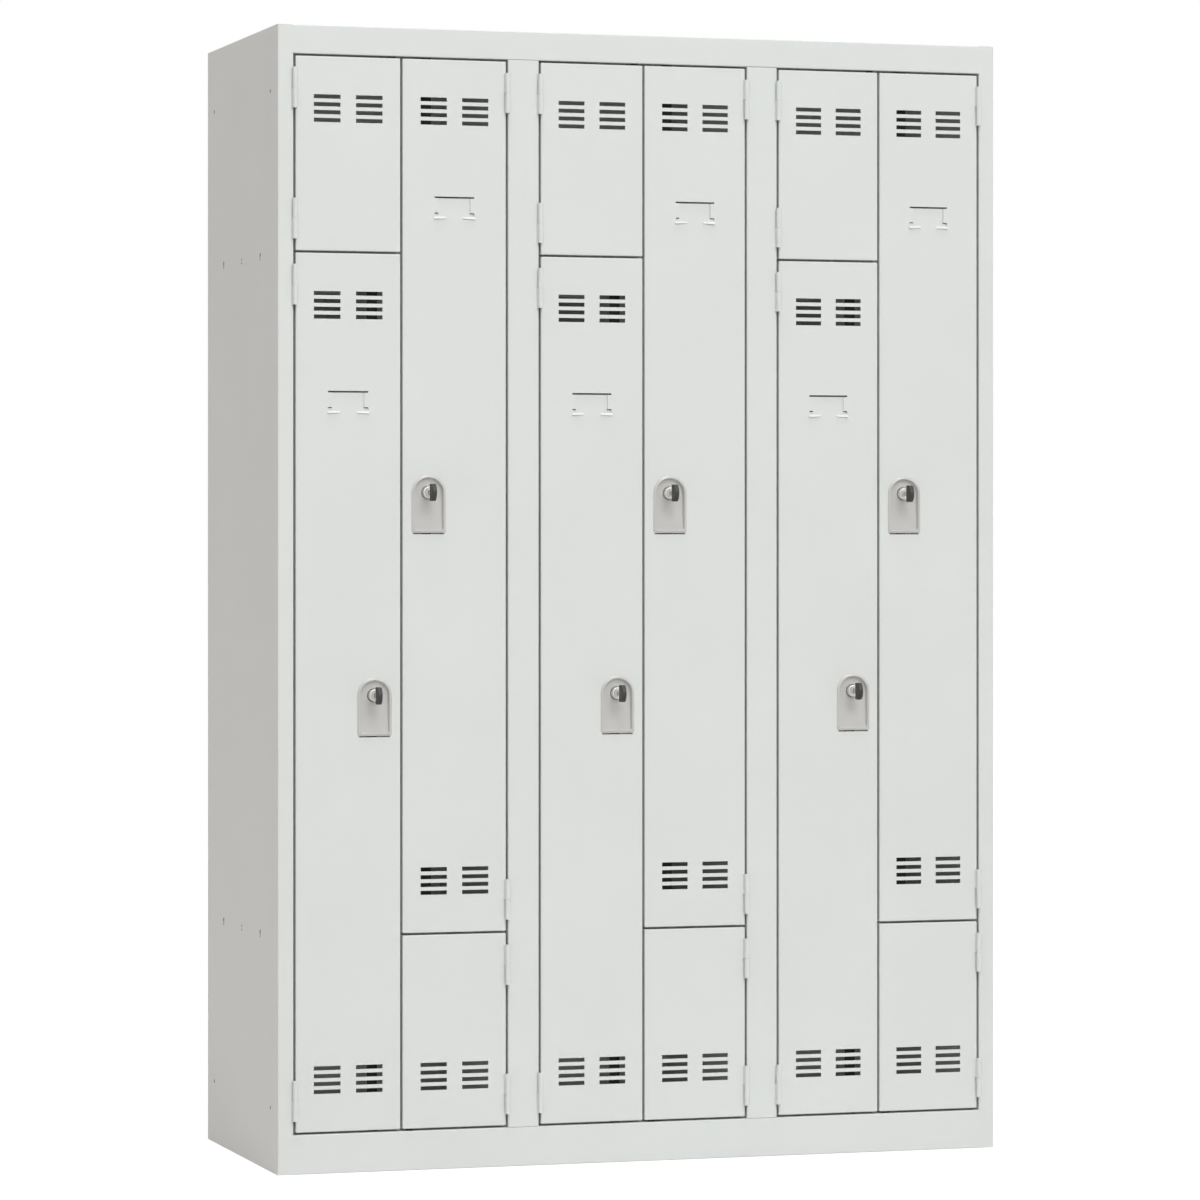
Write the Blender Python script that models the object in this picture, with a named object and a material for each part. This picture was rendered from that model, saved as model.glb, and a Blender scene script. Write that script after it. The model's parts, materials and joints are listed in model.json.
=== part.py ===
"""Three-column Z locker in folded sheet steel, with two lockers nested like a Z in each column.

Each column holds an upper and a lower locker. The upper one is a full-width space at the top and
a narrow one down the right, and the lower one is the same upside down. A tall door with a key lock
closes each narrow space and a small door, held by a bolt inside, closes each wide one.
All lengths are in metres. The origin is under the middle of the whole locker, on the floor, with
+Z up and the doors facing -Y. "Depth" is the distance behind the front face of the doors.
"""

import math

import bmesh
import bpy
from mathutils import Matrix, Vector

# The whole locker
WIDTH = 1.200
DEPTH = 0.500
HEIGHT = 1.800
COLUMNS = 3

# Sheet steel and how closely the pieces meet
SHEET = 0.001
BEND = 0.0008
BEND_STEPS = 1
FIT = 0.0003
OVERRUN = 0.002

# Front frame: stiles at the sides, posts twice as wide between columns, rails above and below
STILE = 0.0254
TOP_RAIL = 0.045
PLINTH = 0.062
PLINTH_RETURN = 0.020
SMALL_BAY = 0.310
DOOR_GAP = 0.0035
STOP_LIP = 0.012
BUFFER_SPACE = 0.001
BACK_FLANGE = 0.018
SHELF_FLANGE = 0.015

# Holes punched in the side walls
CORNER_HOLE_RADIUS = 0.003
CORNER_HOLE_INSET = 0.050
CORNER_HOLE_FROM_END = 0.102
TAB_SLOT_WIDTH = 0.003
TAB_SLOT_HEIGHT = 0.014
TAB_SLOT_FROM_EDGE = 0.120
RIVET_HOLE_RADIUS = 0.0016
RIVET_HOLE_PITCH = 0.006
HOLE_SIDES = 6

# Doors: shallow pans with a return along their back edge
PAN = 0.020
PAN_RETURN = 0.010
VENT_FROM_END = 0.063
VENT_PITCH = 0.0123
VENT_SLOTS = 4
VENT_LENGTH = 0.043
VENT_WIDTH = 0.006
VENT_SPACING = 0.068

# Card holder pressed into each tall door
CARD_WIDTH = 0.065
CARD_HEIGHT = 0.034
CARD_FROM_TOP = 0.216
CARD_RECESS = 0.001
CARD_STRIP = 0.0065
CARD_STRIP_LENGTH = 0.0255
CARD_SLIT = 0.0022
CARD_LEDGE = 0.0022
CARD_LEDGE_LENGTH = 0.022

# Hinges: two weld-on barrels to a door, each of an upper and a lower knuckle on one pin
BARREL_LENGTH = 0.0635
BARREL_RADIUS = 0.00425
BARREL_FROM_END = 0.020
BARREL_OFF_FACE = 0.0005
BARREL_STEPS = 7
FOOT_START = math.radians(60)
BARREL_FOOT = 0.003
PIN_RADIUS = 0.0024
PIN_PLAY = 0.0004
PIN_SIDES = 6
PIN_COVER = 0.003

# Lock cups: arched dishes with a raised rim, let into the tall doors
CUP_WIDTH = 0.056
CUP_HEIGHT = 0.092
CUP_FROM_GAP = 0.044
CUP_CORNER = 0.003
CUP_RIM = 0.0022
CUP_RIM_WIDTH = 0.0030
CUP_WALL_SLOPE = 0.0008
CUP_SHEET = 0.001
CUP_ARC_STEPS = 9
CUP_CORNER_STEPS = 1
RAMP_BELOW_LOCK = 0.016
DISH_SHARE = 0.5
RAMP_END_SHARE = 0.3
LOCK_HEIGHT_SHARE = 0.496
# Rings of the raised rim: how far in from its edge, and how high
RIM_SHARES = ((0.2, 0.9), (0.9, 0.9))

# Lock: barrel fixed in the cup, plug that turns in it, crank on the plug's back
LOCK_NOSE_RADIUS = 0.010
LOCK_NOSE_TAPER = 0.0008
LOCK_NOSE = 0.015
LOCK_BODY_RADIUS = 0.008
LOCK_SIDES = 12
PLUG_RADIUS = 0.006
PLUG_RECESS = 0.0005
CRANK_PLATE = 0.001
CRANK_THROW = 0.0085
CRANK_PIN_RADIUS = 0.0025
CRANK_MARGIN = 0.001
CRANK_START = math.radians(45)

# Key: moulded head on a flat blade
KEY_PROUD = 0.039
KEY_HEAD_LENGTH = 0.020
KEY_HEAD_HEIGHT = 0.027
KEY_HEAD_THICKNESS = 0.0072
KEY_ARCH_SHARE = 0.57
KEY_HEAD_EDGE = 0.0015
KEY_ARC_STEPS = 6
KEY_BLADE_THICKNESS = 0.002
KEY_BLADE_HEIGHT = 0.0075
BLADE_SHARE = 0.7

# Locking bars in the tall doors and sliding bolts in the small ones
BAR_WIDTH = 0.016
BAR_THICKNESS = 0.003
BAR_END_SPACE = 0.010
BAR_TIP_CLEAR = 0.0005
BAR_GUIDE_SHARE = 0.22
GUIDE_LENGTH = 0.018
GUIDE_PLAY = 0.0006
YOKE_SLOT_PLAY = 0.0008
YOKE_MARGIN = 0.006
BOLT_FROM_GAP = 0.014
BOLT_WIDTH = 0.011
BOLT_LENGTH = 0.085
BOLT_THICKNESS = 0.003
BOLT_DEPTH = 0.0055
BOLT_TAB = 0.012
BOLT_GUIDE_FROM_END = 0.026
STRIKE_PLAY = 0.001

# Coat rails: flat bars folded up at both ends and welded under the roof and the upper shelves
RAIL_BAR_WIDTH = 0.022
RAIL_BAR_THICKNESS = 0.003
RAIL_FROM_WALL = 0.022
RAIL_DROP = 0.050

# Places that follow from the sizes above
FACE_Y = (KEY_PROUD - DEPTH) / 2
PITCH = WIDTH / COLUMNS
OPENING_TOP = HEIGHT - TOP_RAIL
HIGH_SPLIT = OPENING_TOP - SMALL_BAY
LOW_SPLIT = PLINTH + SMALL_BAY
STOP_DEPTH = PAN + BUFFER_SPACE
STOP_BACK = STOP_DEPTH + SHEET
BEND_OUTSIDE = BEND + SHEET
HALF_SHEET = SHEET / 2
INSIDE_BACK = DEPTH - 2 * (SHEET + FIT)
AXIS_DEPTH = -(BARREL_RADIUS + BARREL_OFF_FACE)
DISH = DISH_SHARE * PAN
BAR_BACK = PAN - 2 * SHEET - FIT
BAR_FRONT = BAR_BACK - BAR_THICKNESS
CRANK_BACK = BAR_FRONT - FIT
CRANK_FRONT = CRANK_BACK - CRANK_PLATE
LOCK_BACK = CRANK_FRONT - FIT

# Finishes: colour, metallic, roughness
FINISHES = {
    "light_grey_powder_coat": ((0.73, 0.75, 0.72), 0.0, 0.55),
    "zinc_die_cast": ((0.55, 0.55, 0.53), 1.0, 0.35),
    "black_steel": ((0.01, 0.01, 0.01), 0.6, 0.45),
    "black_nylon": ((0.035, 0.035, 0.035), 0.0, 0.5),
}


def clear_scene():
    for thing in list(bpy.data.objects):
        bpy.data.objects.remove(thing, do_unlink=True)


def finish(name, piece):
    """The piece's own material, in one of the finishes."""
    colour, metallic, roughness = FINISHES[name]
    material = bpy.data.materials.new(piece + "_" + name)
    material.use_nodes = True
    shader = material.node_tree.nodes["Principled BSDF"]
    shader.inputs["Base Color"].default_value = (*colour, 1.0)
    shader.inputs["Metallic"].default_value = metallic
    shader.inputs["Roughness"].default_value = roughness
    return material


# Shapes. A shell is a list of rings of points, skinned from the first to the last and capped.

def place(along, u, v, w):
    """A point from its place in an outline (u, v) and its distance w along an axis."""
    if along == "x":
        x, depth, z = w, u, v
    elif along == "y":
        x, depth, z = u, w, v
    else:
        x, depth, z = u, v, w
    return Vector((x, FACE_Y + depth, z))


def prism(outline, along, start, end):
    return [[place(along, u, v, w) for u, v in outline] for w in (start, end)]


def box(x0, x1, depth0, depth1, z0, z1):
    return prism([(x0, depth0), (x1, depth0), (x1, depth1), (x0, depth1)], "z", z0, z1)


def circle(u, v, radius, sides):
    turns = [math.tau * (step + 0.5) / sides for step in range(sides)]
    return [(u + radius * math.cos(turn), v + radius * math.sin(turn)) for turn in turns]


def turned(u, v, profile, along, sides):
    """Round piece about an axis through (u, v), from (radius, distance along) pairs."""
    return [[place(along, *point, w) for point in circle(u, v, radius, sides)]
            for radius, w in profile]


def folded_sheet(path, thickness=SHEET, radius=BEND):
    """Both sides of a sheet folded along its middle line, each a list of points."""
    middle = [Vector(point) for point in path]
    bend = radius + thickness / 2
    sides = ([], [])

    def lay(point, normal):
        for side, points in zip((1, -1), sides):
            points.append(tuple(point + side * normal * thickness / 2))

    for index, corner in enumerate(middle):
        before = (corner - middle[index - 1]).normalized() if index else None
        after = (middle[index + 1] - corner).normalized() if index + 1 < len(middle) else None
        if before is None or after is None:
            way = after or before
            lay(corner, Vector((-way.y, way.x)))
            continue
        turn = math.atan2(before.cross(after), before.dot(after))
        inward = math.copysign(1, turn)
        normal = Vector((-before.y, before.x))
        centre = corner - before * bend * math.tan(abs(turn) / 2) + inward * normal * bend
        for step in range(BEND_STEPS + 1):
            swung = Matrix.Rotation(turn * step / BEND_STEPS, 2) @ normal
            lay(centre - inward * swung * bend, swung)
    return sides


def sheet_prism(path, along, start, end, thickness=SHEET):
    left, right = folded_sheet(path, thickness)
    return prism(left + right[::-1], along, start, end)


def mirrored(points, side):
    """Outline points turned over left to right when side is -1."""
    return [(side * u, v) for u, v in points]


def shifted(points, du, dv):
    return [(u + du, v + dv) for u, v in points]


def skin(mesh, rings, crease=None):
    """Adds the skin of a shell: a tube if its last ring is its first, and otherwise capped.

    With a crease, each cap is two faces that meet on a line from that point to the last.
    """
    tube = rings[0] is rings[-1]
    loops = [[mesh.verts.new(point) for point in ring] for ring in rings[:-1]]
    loops.append(loops[0] if tube else [mesh.verts.new(point) for point in rings[-1]])
    for near, far in zip(loops, loops[1:]):
        for here in range(len(near)):
            there = (here + 1) % len(near)
            mesh.faces.new((near[here], near[there], far[there], far[here]))
    for loop in [] if tube else (loops[0], loops[-1]):
        if crease is None:
            mesh.faces.new(loop)
        else:
            mesh.faces.new(loop[:crease + 1] + loop[-1:])
            mesh.faces.new(loop[crease:])


def make(name, shells, origin=None, parent=None, material=None, crease=None):
    """One object from its shells, with its origin at a point and its own finish."""
    mesh = bmesh.new()
    for rings in shells:
        skin(mesh, rings, crease)
    bmesh.ops.recalc_face_normals(mesh, faces=mesh.faces)
    origin = origin or Vector((0, 0, 0))
    bmesh.ops.translate(mesh, vec=-origin, verts=mesh.verts)
    data = bpy.data.meshes.new(name)
    mesh.to_mesh(data)
    mesh.free()
    piece = bpy.data.objects.new(name, data)
    bpy.context.collection.objects.link(piece)
    piece.location = origin
    if parent:
        piece.parent = parent
        piece.location = origin - parent.matrix_world.translation
    if material:
        data.materials.append(finish(material, name))
    bpy.context.view_layer.update()
    return piece


def combine(piece, shells, operation, label):
    """Joins shells to a piece, or cuts them out of it, with a Boolean."""
    if not shells:
        return
    tool = make(piece.name + "_" + label, shells)
    tool.hide_render = True
    tool.display_type = "WIRE"
    boolean = piece.modifiers.new(label, "BOOLEAN")
    boolean.operation = operation
    boolean.solver = "EXACT"
    boolean.object = tool


def weld(piece, shells, label="welded"):
    combine(piece, shells, "UNION", label)


def cut(piece, shells, label="cut"):
    combine(piece, shells, "DIFFERENCE", label)


def bolt_section():
    """Width, front and back of a small door's bolt."""
    return BOLT_WIDTH, BOLT_DEPTH - BOLT_THICKNESS / 2, BOLT_DEPTH + BOLT_THICKNESS / 2


# Hinges

def knuckle(axis_x, side, z0, z1):
    """One knuckle of a hinge barrel, with the foot by which it is welded on."""
    foot_depth = -AXIS_DEPTH + HALF_SHEET
    foot_near = DOOR_GAP / 2 + BEND_OUTSIDE
    turns = [FOOT_START + (math.tau - FOOT_START) * step / BARREL_STEPS
             for step in range(BARREL_STEPS + 1)]
    ring = [(BARREL_RADIUS * math.cos(turn), BARREL_RADIUS * math.sin(turn)) for turn in turns]
    outline = ring + [(foot_near + BARREL_FOOT, foot_depth), (foot_near, foot_depth)]
    return prism(shifted(mirrored(outline, side), axis_x, AXIS_DEPTH), "z", z0, z1)


def pin_bore(axis_x, z0, z1):
    """The blind bore that lets a door's knuckle drop over its pin."""
    radius = PIN_RADIUS + PIN_PLAY
    return turned(axis_x, AXIS_DEPTH, [(radius, z0 - OVERRUN), (radius, z1 - PIN_COVER)],
                  "z", PIN_SIDES)


def barrel_spans(z0, z1):
    """Where the two hinges of a door lie, between the middles of the gaps at its ends."""
    low = z0 + BARREL_FROM_END
    high = z1 - BARREL_FROM_END
    return [(low, low + BARREL_LENGTH), (high - BARREL_LENGTH, high)]


class Door:
    """A door's place: its column, the edge it hangs on, and the gaps above and below it."""

    def __init__(self, name, column, hand, z0, z1, opens_upward_end):
        self.name = name
        self.column = column
        self.hand = hand
        self.z0 = z0
        self.z1 = z1
        self.up = opens_upward_end
        self.middle_x = -WIDTH / 2 + PITCH * (column + 0.5)
        self.hinge_x = self.middle_x - hand * (PITCH / 2 - STILE - DOOR_GAP / 2)
        self.tall = z1 - z0 > HEIGHT / 2

    def part_name(self, part):
        """Name of a piece on this door, such as upper_key_1."""
        words = self.name.split("_")
        return words[0] + "_" + part + "_" + words[-1]

    def pin_point(self):
        return Vector((self.hinge_x, FACE_Y + AXIS_DEPTH, self.z0))

    def spans(self):
        return barrel_spans(self.z0, self.z1)

    def edges(self):
        """Lowest and highest x and z of the door's pan."""
        near = self.hinge_x + self.hand * DOOR_GAP / 2
        far = self.middle_x - self.hand * DOOR_GAP / 2
        return min(near, far), max(near, far), self.z0 + DOOR_GAP / 2, self.z1 - DOOR_GAP / 2

    def latch_x(self):
        """Middle of the locking bar or bolt, measured from the gap between the doors."""
        return self.middle_x - self.hand * (CUP_FROM_GAP if self.tall else BOLT_FROM_GAP)

    def rail_z(self):
        """The edge of the rail that the bar or bolt runs into."""
        return OPENING_TOP if self.up else PLINTH

    def way(self):
        return 1 if self.up else -1

    def lock_z(self):
        end = self.z1 if self.up else self.z0
        return end - self.way() * LOCK_HEIGHT_SHARE * (self.z1 - self.z0)


def all_doors():
    low = PLINTH + DOOR_GAP / 2
    high = OPENING_TOP - DOOR_GAP / 2
    doors = []
    for column in range(COLUMNS):
        number = "_" + str(column + 1)
        doors += [
            Door("upper_small_door" + number, column, 1, HIGH_SPLIT, high, True),
            Door("upper_tall_door" + number, column, -1, LOW_SPLIT, high, True),
            Door("lower_tall_door" + number, column, 1, low, HIGH_SPLIT, False),
            Door("lower_small_door" + number, column, -1, low, LOW_SPLIT, False),
        ]
    return doors


# Carcass

def weld_hinges(piece, doors, hinge_x):
    """Welds lower knuckles, and the pins that stand in them, along one edge of a stile or post."""
    knuckles = []
    pins = []
    for door in doors:
        if abs(door.hinge_x - hinge_x) > DOOR_GAP:
            continue
        for z0, z1 in door.spans():
            top = (z0 + z1 - FIT) / 2
            knuckles.append(knuckle(door.hinge_x, -door.hand, z0, top))
            pins.append(turned(door.hinge_x, AXIS_DEPTH,
                               [(PIN_RADIUS, top - PIN_COVER), (PIN_RADIUS, z1 - PIN_COVER - FIT)],
                               "z", PIN_SIDES))
    weld(piece, knuckles, "knuckles")
    weld(piece, pins, "pins")


def coat_rail(x0, x1, z):
    """A flat bar that hangs by its folded ends from a sheet at height z."""
    depth = (STOP_BACK + INSIDE_BACK) / 2
    path = [(x0 + RAIL_FROM_WALL, z), (x0 + RAIL_FROM_WALL, z - RAIL_DROP),
            (x1 - RAIL_FROM_WALL, z - RAIL_DROP), (x1 - RAIL_FROM_WALL, z)]
    return sheet_prism(path, "y", depth - RAIL_BAR_WIDTH / 2, depth + RAIL_BAR_WIDTH / 2,
                       RAIL_BAR_THICKNESS)


def make_side_panel(name, side, doors):
    """A side wall folded at the front into stile, jamb and door stop, and flanged at the back."""
    wall = side * WIDTH / 2
    path = [
        (BACK_FLANGE, DEPTH - HALF_SHEET),
        (HALF_SHEET, DEPTH - HALF_SHEET),
        (HALF_SHEET, HALF_SHEET),
        (STILE - HALF_SHEET, HALF_SHEET),
        (STILE - HALF_SHEET, STOP_DEPTH + HALF_SHEET),
        (STILE + STOP_LIP, STOP_DEPTH + HALF_SHEET),
    ]
    path = shifted(mirrored(path, -side), wall, 0)
    panel = make(name, [sheet_prism(path, "z", 0, HEIGHT)], material="light_grey_powder_coat")
    weld_hinges(panel, doors, wall - side * (STILE + DOOR_GAP / 2))
    across = sorted((wall - side * (STILE - BEND_OUTSIDE),
                     wall - side * (STILE + STOP_LIP + OVERRUN)))
    cut(panel, [
        box(*across, -OVERRUN, STOP_BACK + OVERRUN, OPENING_TOP - FIT, HEIGHT + OVERRUN),
        box(*across, -OVERRUN, STOP_BACK + OVERRUN, -OVERRUN, PLINTH + FIT),
    ], "rail_notch")
    cut(panel, stop_notches(*across), "stop_notch")
    cut(panel, wall_punchings(wall), "punched")
    return panel


def stop_notches(x0, x1):
    """Where a stile's or post's door stop leaves room for the stops of the two rails."""
    return [
        box(x0, x1, STOP_DEPTH - BEND - FIT, STOP_BACK + 2 * OVERRUN,
            OPENING_TOP - STOP_LIP - FIT, OPENING_TOP + OVERRUN),
        box(x0, x1, STOP_DEPTH - BEND - FIT, STOP_BACK + 2 * OVERRUN,
            PLINTH - OVERRUN, PLINTH + STOP_LIP + FIT),
    ]


def wall_punchings(wall):
    """Fixing holes near the corners, and tab slots and rivet holes at both shelf heights."""
    through = (wall - SHEET - OVERRUN, wall + SHEET + OVERRUN)
    shells = []
    for depth in (CORNER_HOLE_INSET, DEPTH - CORNER_HOLE_INSET):
        for z in (CORNER_HOLE_FROM_END, HEIGHT - CORNER_HOLE_FROM_END):
            shells.append(prism(circle(depth, z, CORNER_HOLE_RADIUS, HOLE_SIDES), "x", *through))
    for z in (LOW_SPLIT, HIGH_SPLIT):
        for depth in (TAB_SLOT_FROM_EDGE, DEPTH - TAB_SLOT_FROM_EDGE):
            shells.append(box(*through, depth - TAB_SLOT_WIDTH / 2, depth + TAB_SLOT_WIDTH / 2,
                              z - TAB_SLOT_HEIGHT, z))
        for step in (0, 1):
            middle = z - step * RIVET_HOLE_PITCH
            shells.append(prism(circle(DEPTH / 2, middle, RIVET_HOLE_RADIUS, HOLE_SIDES),
                                "x", *through))
    return shells


def bay(column):
    """Left, middle and right of a column between the sheets that close it."""
    left = -WIDTH / 2 + column * PITCH + (SHEET if column == 0 else HALF_SHEET) + FIT
    right = -WIDTH / 2 + (column + 1) * PITCH - FIT
    right -= SHEET if column + 1 == COLUMNS else HALF_SHEET
    return left, -WIDTH / 2 + (column + 0.5) * PITCH, right


def strike_slots(doors, up):
    """Slots in a rail for the bars and bolts that run into it."""
    z = OPENING_TOP if up else PLINTH
    shells = []
    for door in doors:
        if door.up != up:
            continue
        width, front, back = (BAR_WIDTH, BAR_FRONT, BAR_BACK) if door.tall else bolt_section()
        x = door.latch_x()
        half = width / 2 + STRIKE_PLAY
        shells.append(box(x - half, x + half, front - STRIKE_PLAY, back + STRIKE_PLAY,
                          z - SHEET - OVERRUN, z + SHEET + OVERRUN))
    return shells


def front_corners():
    """What a rail's front face leaves out for the stiles at both ends."""
    inner = WIDTH / 2 - STILE + BEND_OUTSIDE - FIT
    outer = WIDTH / 2 + OVERRUN
    return [box(*sorted((side * inner, side * outer)), -OVERRUN, BEND_OUTSIDE + FIT,
                -OVERRUN, HEIGHT + OVERRUN) for side in (-1, 1)]


def make_top_panel(doors):
    """The roof, folded down in front into the top rail with its return and door stop."""
    path = [
        (DEPTH - BEND_OUTSIDE - FIT, HEIGHT - HALF_SHEET),
        (HALF_SHEET, HEIGHT - HALF_SHEET),
        (HALF_SHEET, OPENING_TOP + HALF_SHEET),
        (STOP_DEPTH + HALF_SHEET, OPENING_TOP + HALF_SHEET),
        (STOP_DEPTH + HALF_SHEET, OPENING_TOP - STOP_LIP),
    ]
    reach = WIDTH / 2 - SHEET - FIT
    panel = make("top_panel", [sheet_prism(path, "x", -reach, reach)],
                 material="light_grey_powder_coat")
    cut(panel, front_corners(), "corners")
    cut(panel, strike_slots(doors, True), "strikes")
    bays = [bay(column) for column in range(COLUMNS)]
    weld(panel, [coat_rail(middle, right, HEIGHT - HALF_SHEET) for left, middle, right in bays],
         "coat_rails")


def make_bottom_panel(doors):
    """The floor, folded down in front into the plinth, with a step that stops the doors."""
    path = [
        (PLINTH_RETURN, HALF_SHEET),
        (HALF_SHEET, HALF_SHEET),
        (HALF_SHEET, PLINTH - HALF_SHEET),
        (STOP_DEPTH + HALF_SHEET, PLINTH - HALF_SHEET),
        (STOP_DEPTH + HALF_SHEET, PLINTH + STOP_LIP - HALF_SHEET),
        (INSIDE_BACK, PLINTH + STOP_LIP - HALF_SHEET),
    ]
    reach = WIDTH / 2 - SHEET - FIT
    panel = make("bottom_panel", [sheet_prism(path, "x", -reach, reach)],
                 material="light_grey_powder_coat")
    cut(panel, front_corners(), "corners")
    cut(panel, strike_slots(doors, False), "strikes")


def make_back_panel():
    reach = WIDTH / 2 - BEND_OUTSIDE - FIT
    front = INSIDE_BACK + FIT
    make("back_panel", [box(-reach, reach, front, front + SHEET, 0, HEIGHT - SHEET - FIT)],
         material="light_grey_powder_coat")


def make_partition(number, doors):
    """The wall between two columns, with the hat-shaped post that its front edge carries."""
    x = -WIDTH / 2 + number * PITCH
    right = [
        (STILE + STOP_LIP, STOP_DEPTH + HALF_SHEET),
        (STILE - HALF_SHEET, STOP_DEPTH + HALF_SHEET),
        (STILE - HALF_SHEET, HALF_SHEET),
    ]
    path = shifted(right + mirrored(right, -1)[::-1], x, 0)
    bottom = PLINTH + FIT
    top = OPENING_TOP - FIT
    post = make("partition_" + str(number), [sheet_prism(path, "z", bottom, top)],
                material="light_grey_powder_coat")
    lip_reach = STILE + STOP_LIP + OVERRUN
    cut(post, stop_notches(x - lip_reach, x + lip_reach), "stop_notch")
    web = [
        (HALF_SHEET, bottom + FIT),
        (STOP_DEPTH - BEND - FIT, bottom + FIT),
        (STOP_DEPTH - BEND - FIT, PLINTH + STOP_LIP + FIT),
        (INSIDE_BACK, PLINTH + STOP_LIP + FIT),
        (INSIDE_BACK, HEIGHT - SHEET - FIT),
        (STOP_BACK + FIT, HEIGHT - SHEET - FIT),
        (STOP_BACK + FIT, OPENING_TOP - STOP_LIP - FIT),
        (HALF_SHEET, OPENING_TOP - STOP_LIP - FIT),
    ]
    weld(post, [prism(web, "x", x - HALF_SHEET, x + HALF_SHEET)], "web")
    for side in (-1, 1):
        weld_hinges(post, doors, x + side * (STILE + DOOR_GAP / 2))


def make_divider(column):
    """The Z-shaped sheet between the two lockers of a column, with its door stop in front."""
    left, middle, right = bay(column)
    path = [
        (left + HALF_SHEET, HIGH_SPLIT - SHELF_FLANGE),
        (left + HALF_SHEET, HIGH_SPLIT),
        (middle, HIGH_SPLIT),
        (middle, LOW_SPLIT),
        (right - HALF_SHEET, LOW_SPLIT),
        (right - HALF_SHEET, LOW_SPLIT - SHELF_FLANGE),
    ]
    divider = make("z_divider_" + str(column + 1),
                   [sheet_prism(path, "y", STOP_DEPTH + HALF_SHEET, INSIDE_BACK)],
                   material="light_grey_powder_coat")
    reach = PITCH / 2 - STILE - STOP_LIP - FIT
    ears = [box(*sorted((middle + side * reach, middle + side * PITCH)), STOP_DEPTH - FIT,
                STOP_BACK + FIT, 0, HEIGHT) for side in (-1, 1)]
    cut(divider, ears, "ears")
    band = [
        (-reach, HIGH_SPLIT + STOP_LIP),
        (STOP_LIP, HIGH_SPLIT + STOP_LIP),
        (STOP_LIP, LOW_SPLIT + STOP_LIP),
        (reach, LOW_SPLIT + STOP_LIP),
        (reach, LOW_SPLIT - STOP_LIP),
        (-STOP_LIP, LOW_SPLIT - STOP_LIP),
        (-STOP_LIP, HIGH_SPLIT - STOP_LIP),
        (-reach, HIGH_SPLIT - STOP_LIP),
    ]
    weld(divider, [prism(shifted(band, middle, 0), "y", STOP_DEPTH, STOP_BACK)], "stop")
    weld(divider, [coat_rail(left, middle, HIGH_SPLIT)], "coat_rail")


# Doors

def pan_rings(x0, x1, z0, z1):
    """The rings of a door pan: face, bent edges, sides and returns, then the same inside."""
    path = [
        (PAN_RETURN, PAN - HALF_SHEET),
        (HALF_SHEET, PAN - HALF_SHEET),
        (HALF_SHEET, HALF_SHEET),
        (PAN_RETURN, HALF_SHEET),
    ]
    outside, inside = folded_sheet(path)
    section = outside[::-1] + inside
    return [[place("y", u, v, depth) for u, v in
             ((x0 + inset, z0 + inset), (x1 - inset, z0 + inset),
              (x1 - inset, z1 - inset), (x0 + inset, z1 - inset))]
            for inset, depth in section]


def vents(door):
    """Two ladders of slots at the ends of the door that have them."""
    x0, x1, z0, z1 = door.edges()
    starts = []
    if door.tall or door.up:
        starts.append((z1, -1))
    if door.tall or not door.up:
        starts.append((z0, 1))
    shells = []
    for end, way in starts:
        for slot in range(VENT_SLOTS):
            z = end + way * (VENT_FROM_END + slot * VENT_PITCH)
            for side in (-1, 1):
                x = (x0 + x1) / 2 + side * VENT_SPACING / 2
                shells.append(box(x - VENT_LENGTH / 2, x + VENT_LENGTH / 2, -OVERRUN,
                                  SHEET + OVERRUN, z - VENT_WIDTH / 2, z + VENT_WIDTH / 2))
    return shells


def guide(x, z, half_width, back):
    """A staple spot-welded inside the door, in which a bar or bolt slides."""
    reach = half_width + GUIDE_PLAY + HALF_SHEET
    depth = back + GUIDE_PLAY / 2 + HALF_SHEET
    path = [(x - reach, HALF_SHEET), (x - reach, depth), (x + reach, depth),
            (x + reach, HALF_SHEET)]
    return sheet_prism(path, "z", z - GUIDE_LENGTH / 2, z + GUIDE_LENGTH / 2)


def card_corner(outer, inner, low, high):
    """Room for a lower corner of the card, over a ledge that slopes and tapers inward."""
    rings = []
    for x, edge in sorted(((outer, low), (inner, low + CARD_LEDGE - FIT))):
        outline = [(-OVERRUN, edge), (0, edge), (CARD_RECESS, low + CARD_LEDGE),
                   (CARD_RECESS, high), (-OVERRUN, high)]
        rings.append([place("x", depth, z, x) for depth, z in outline])
    return rings


def press_card_holder(door, pan):
    """A slit for the card, a recess under it between two strips, and a ledge at each corner."""
    x0, x1, z0, z1 = door.edges()
    middle = (x0 + x1) / 2
    top = z1 - CARD_FROM_TOP
    low = top - CARD_HEIGHT
    half = CARD_WIDTH / 2
    inner = half - CARD_STRIP
    floor = SHEET + CARD_RECESS
    weld(pan, [box(middle - half - SHEET, middle + half + SHEET, HALF_SHEET, floor,
                   low - SHEET, top + SHEET)], "card_backing")
    cut(pan, [box(middle - inner, middle + inner, -OVERRUN, CARD_RECESS,
                  low + CARD_LEDGE, top - CARD_SLIT / 2)], "card_recess")
    cut(pan, [box(middle - half, middle + half, -OVERRUN, floor + OVERRUN,
                  top - CARD_SLIT, top)], "card_slit")
    for side in (-1, 1):
        outer = middle + side * half
        cut(pan, [card_corner(outer, outer - side * CARD_LEDGE_LENGTH, low,
                              top - CARD_STRIP_LENGTH)], "card_corner")


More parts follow.
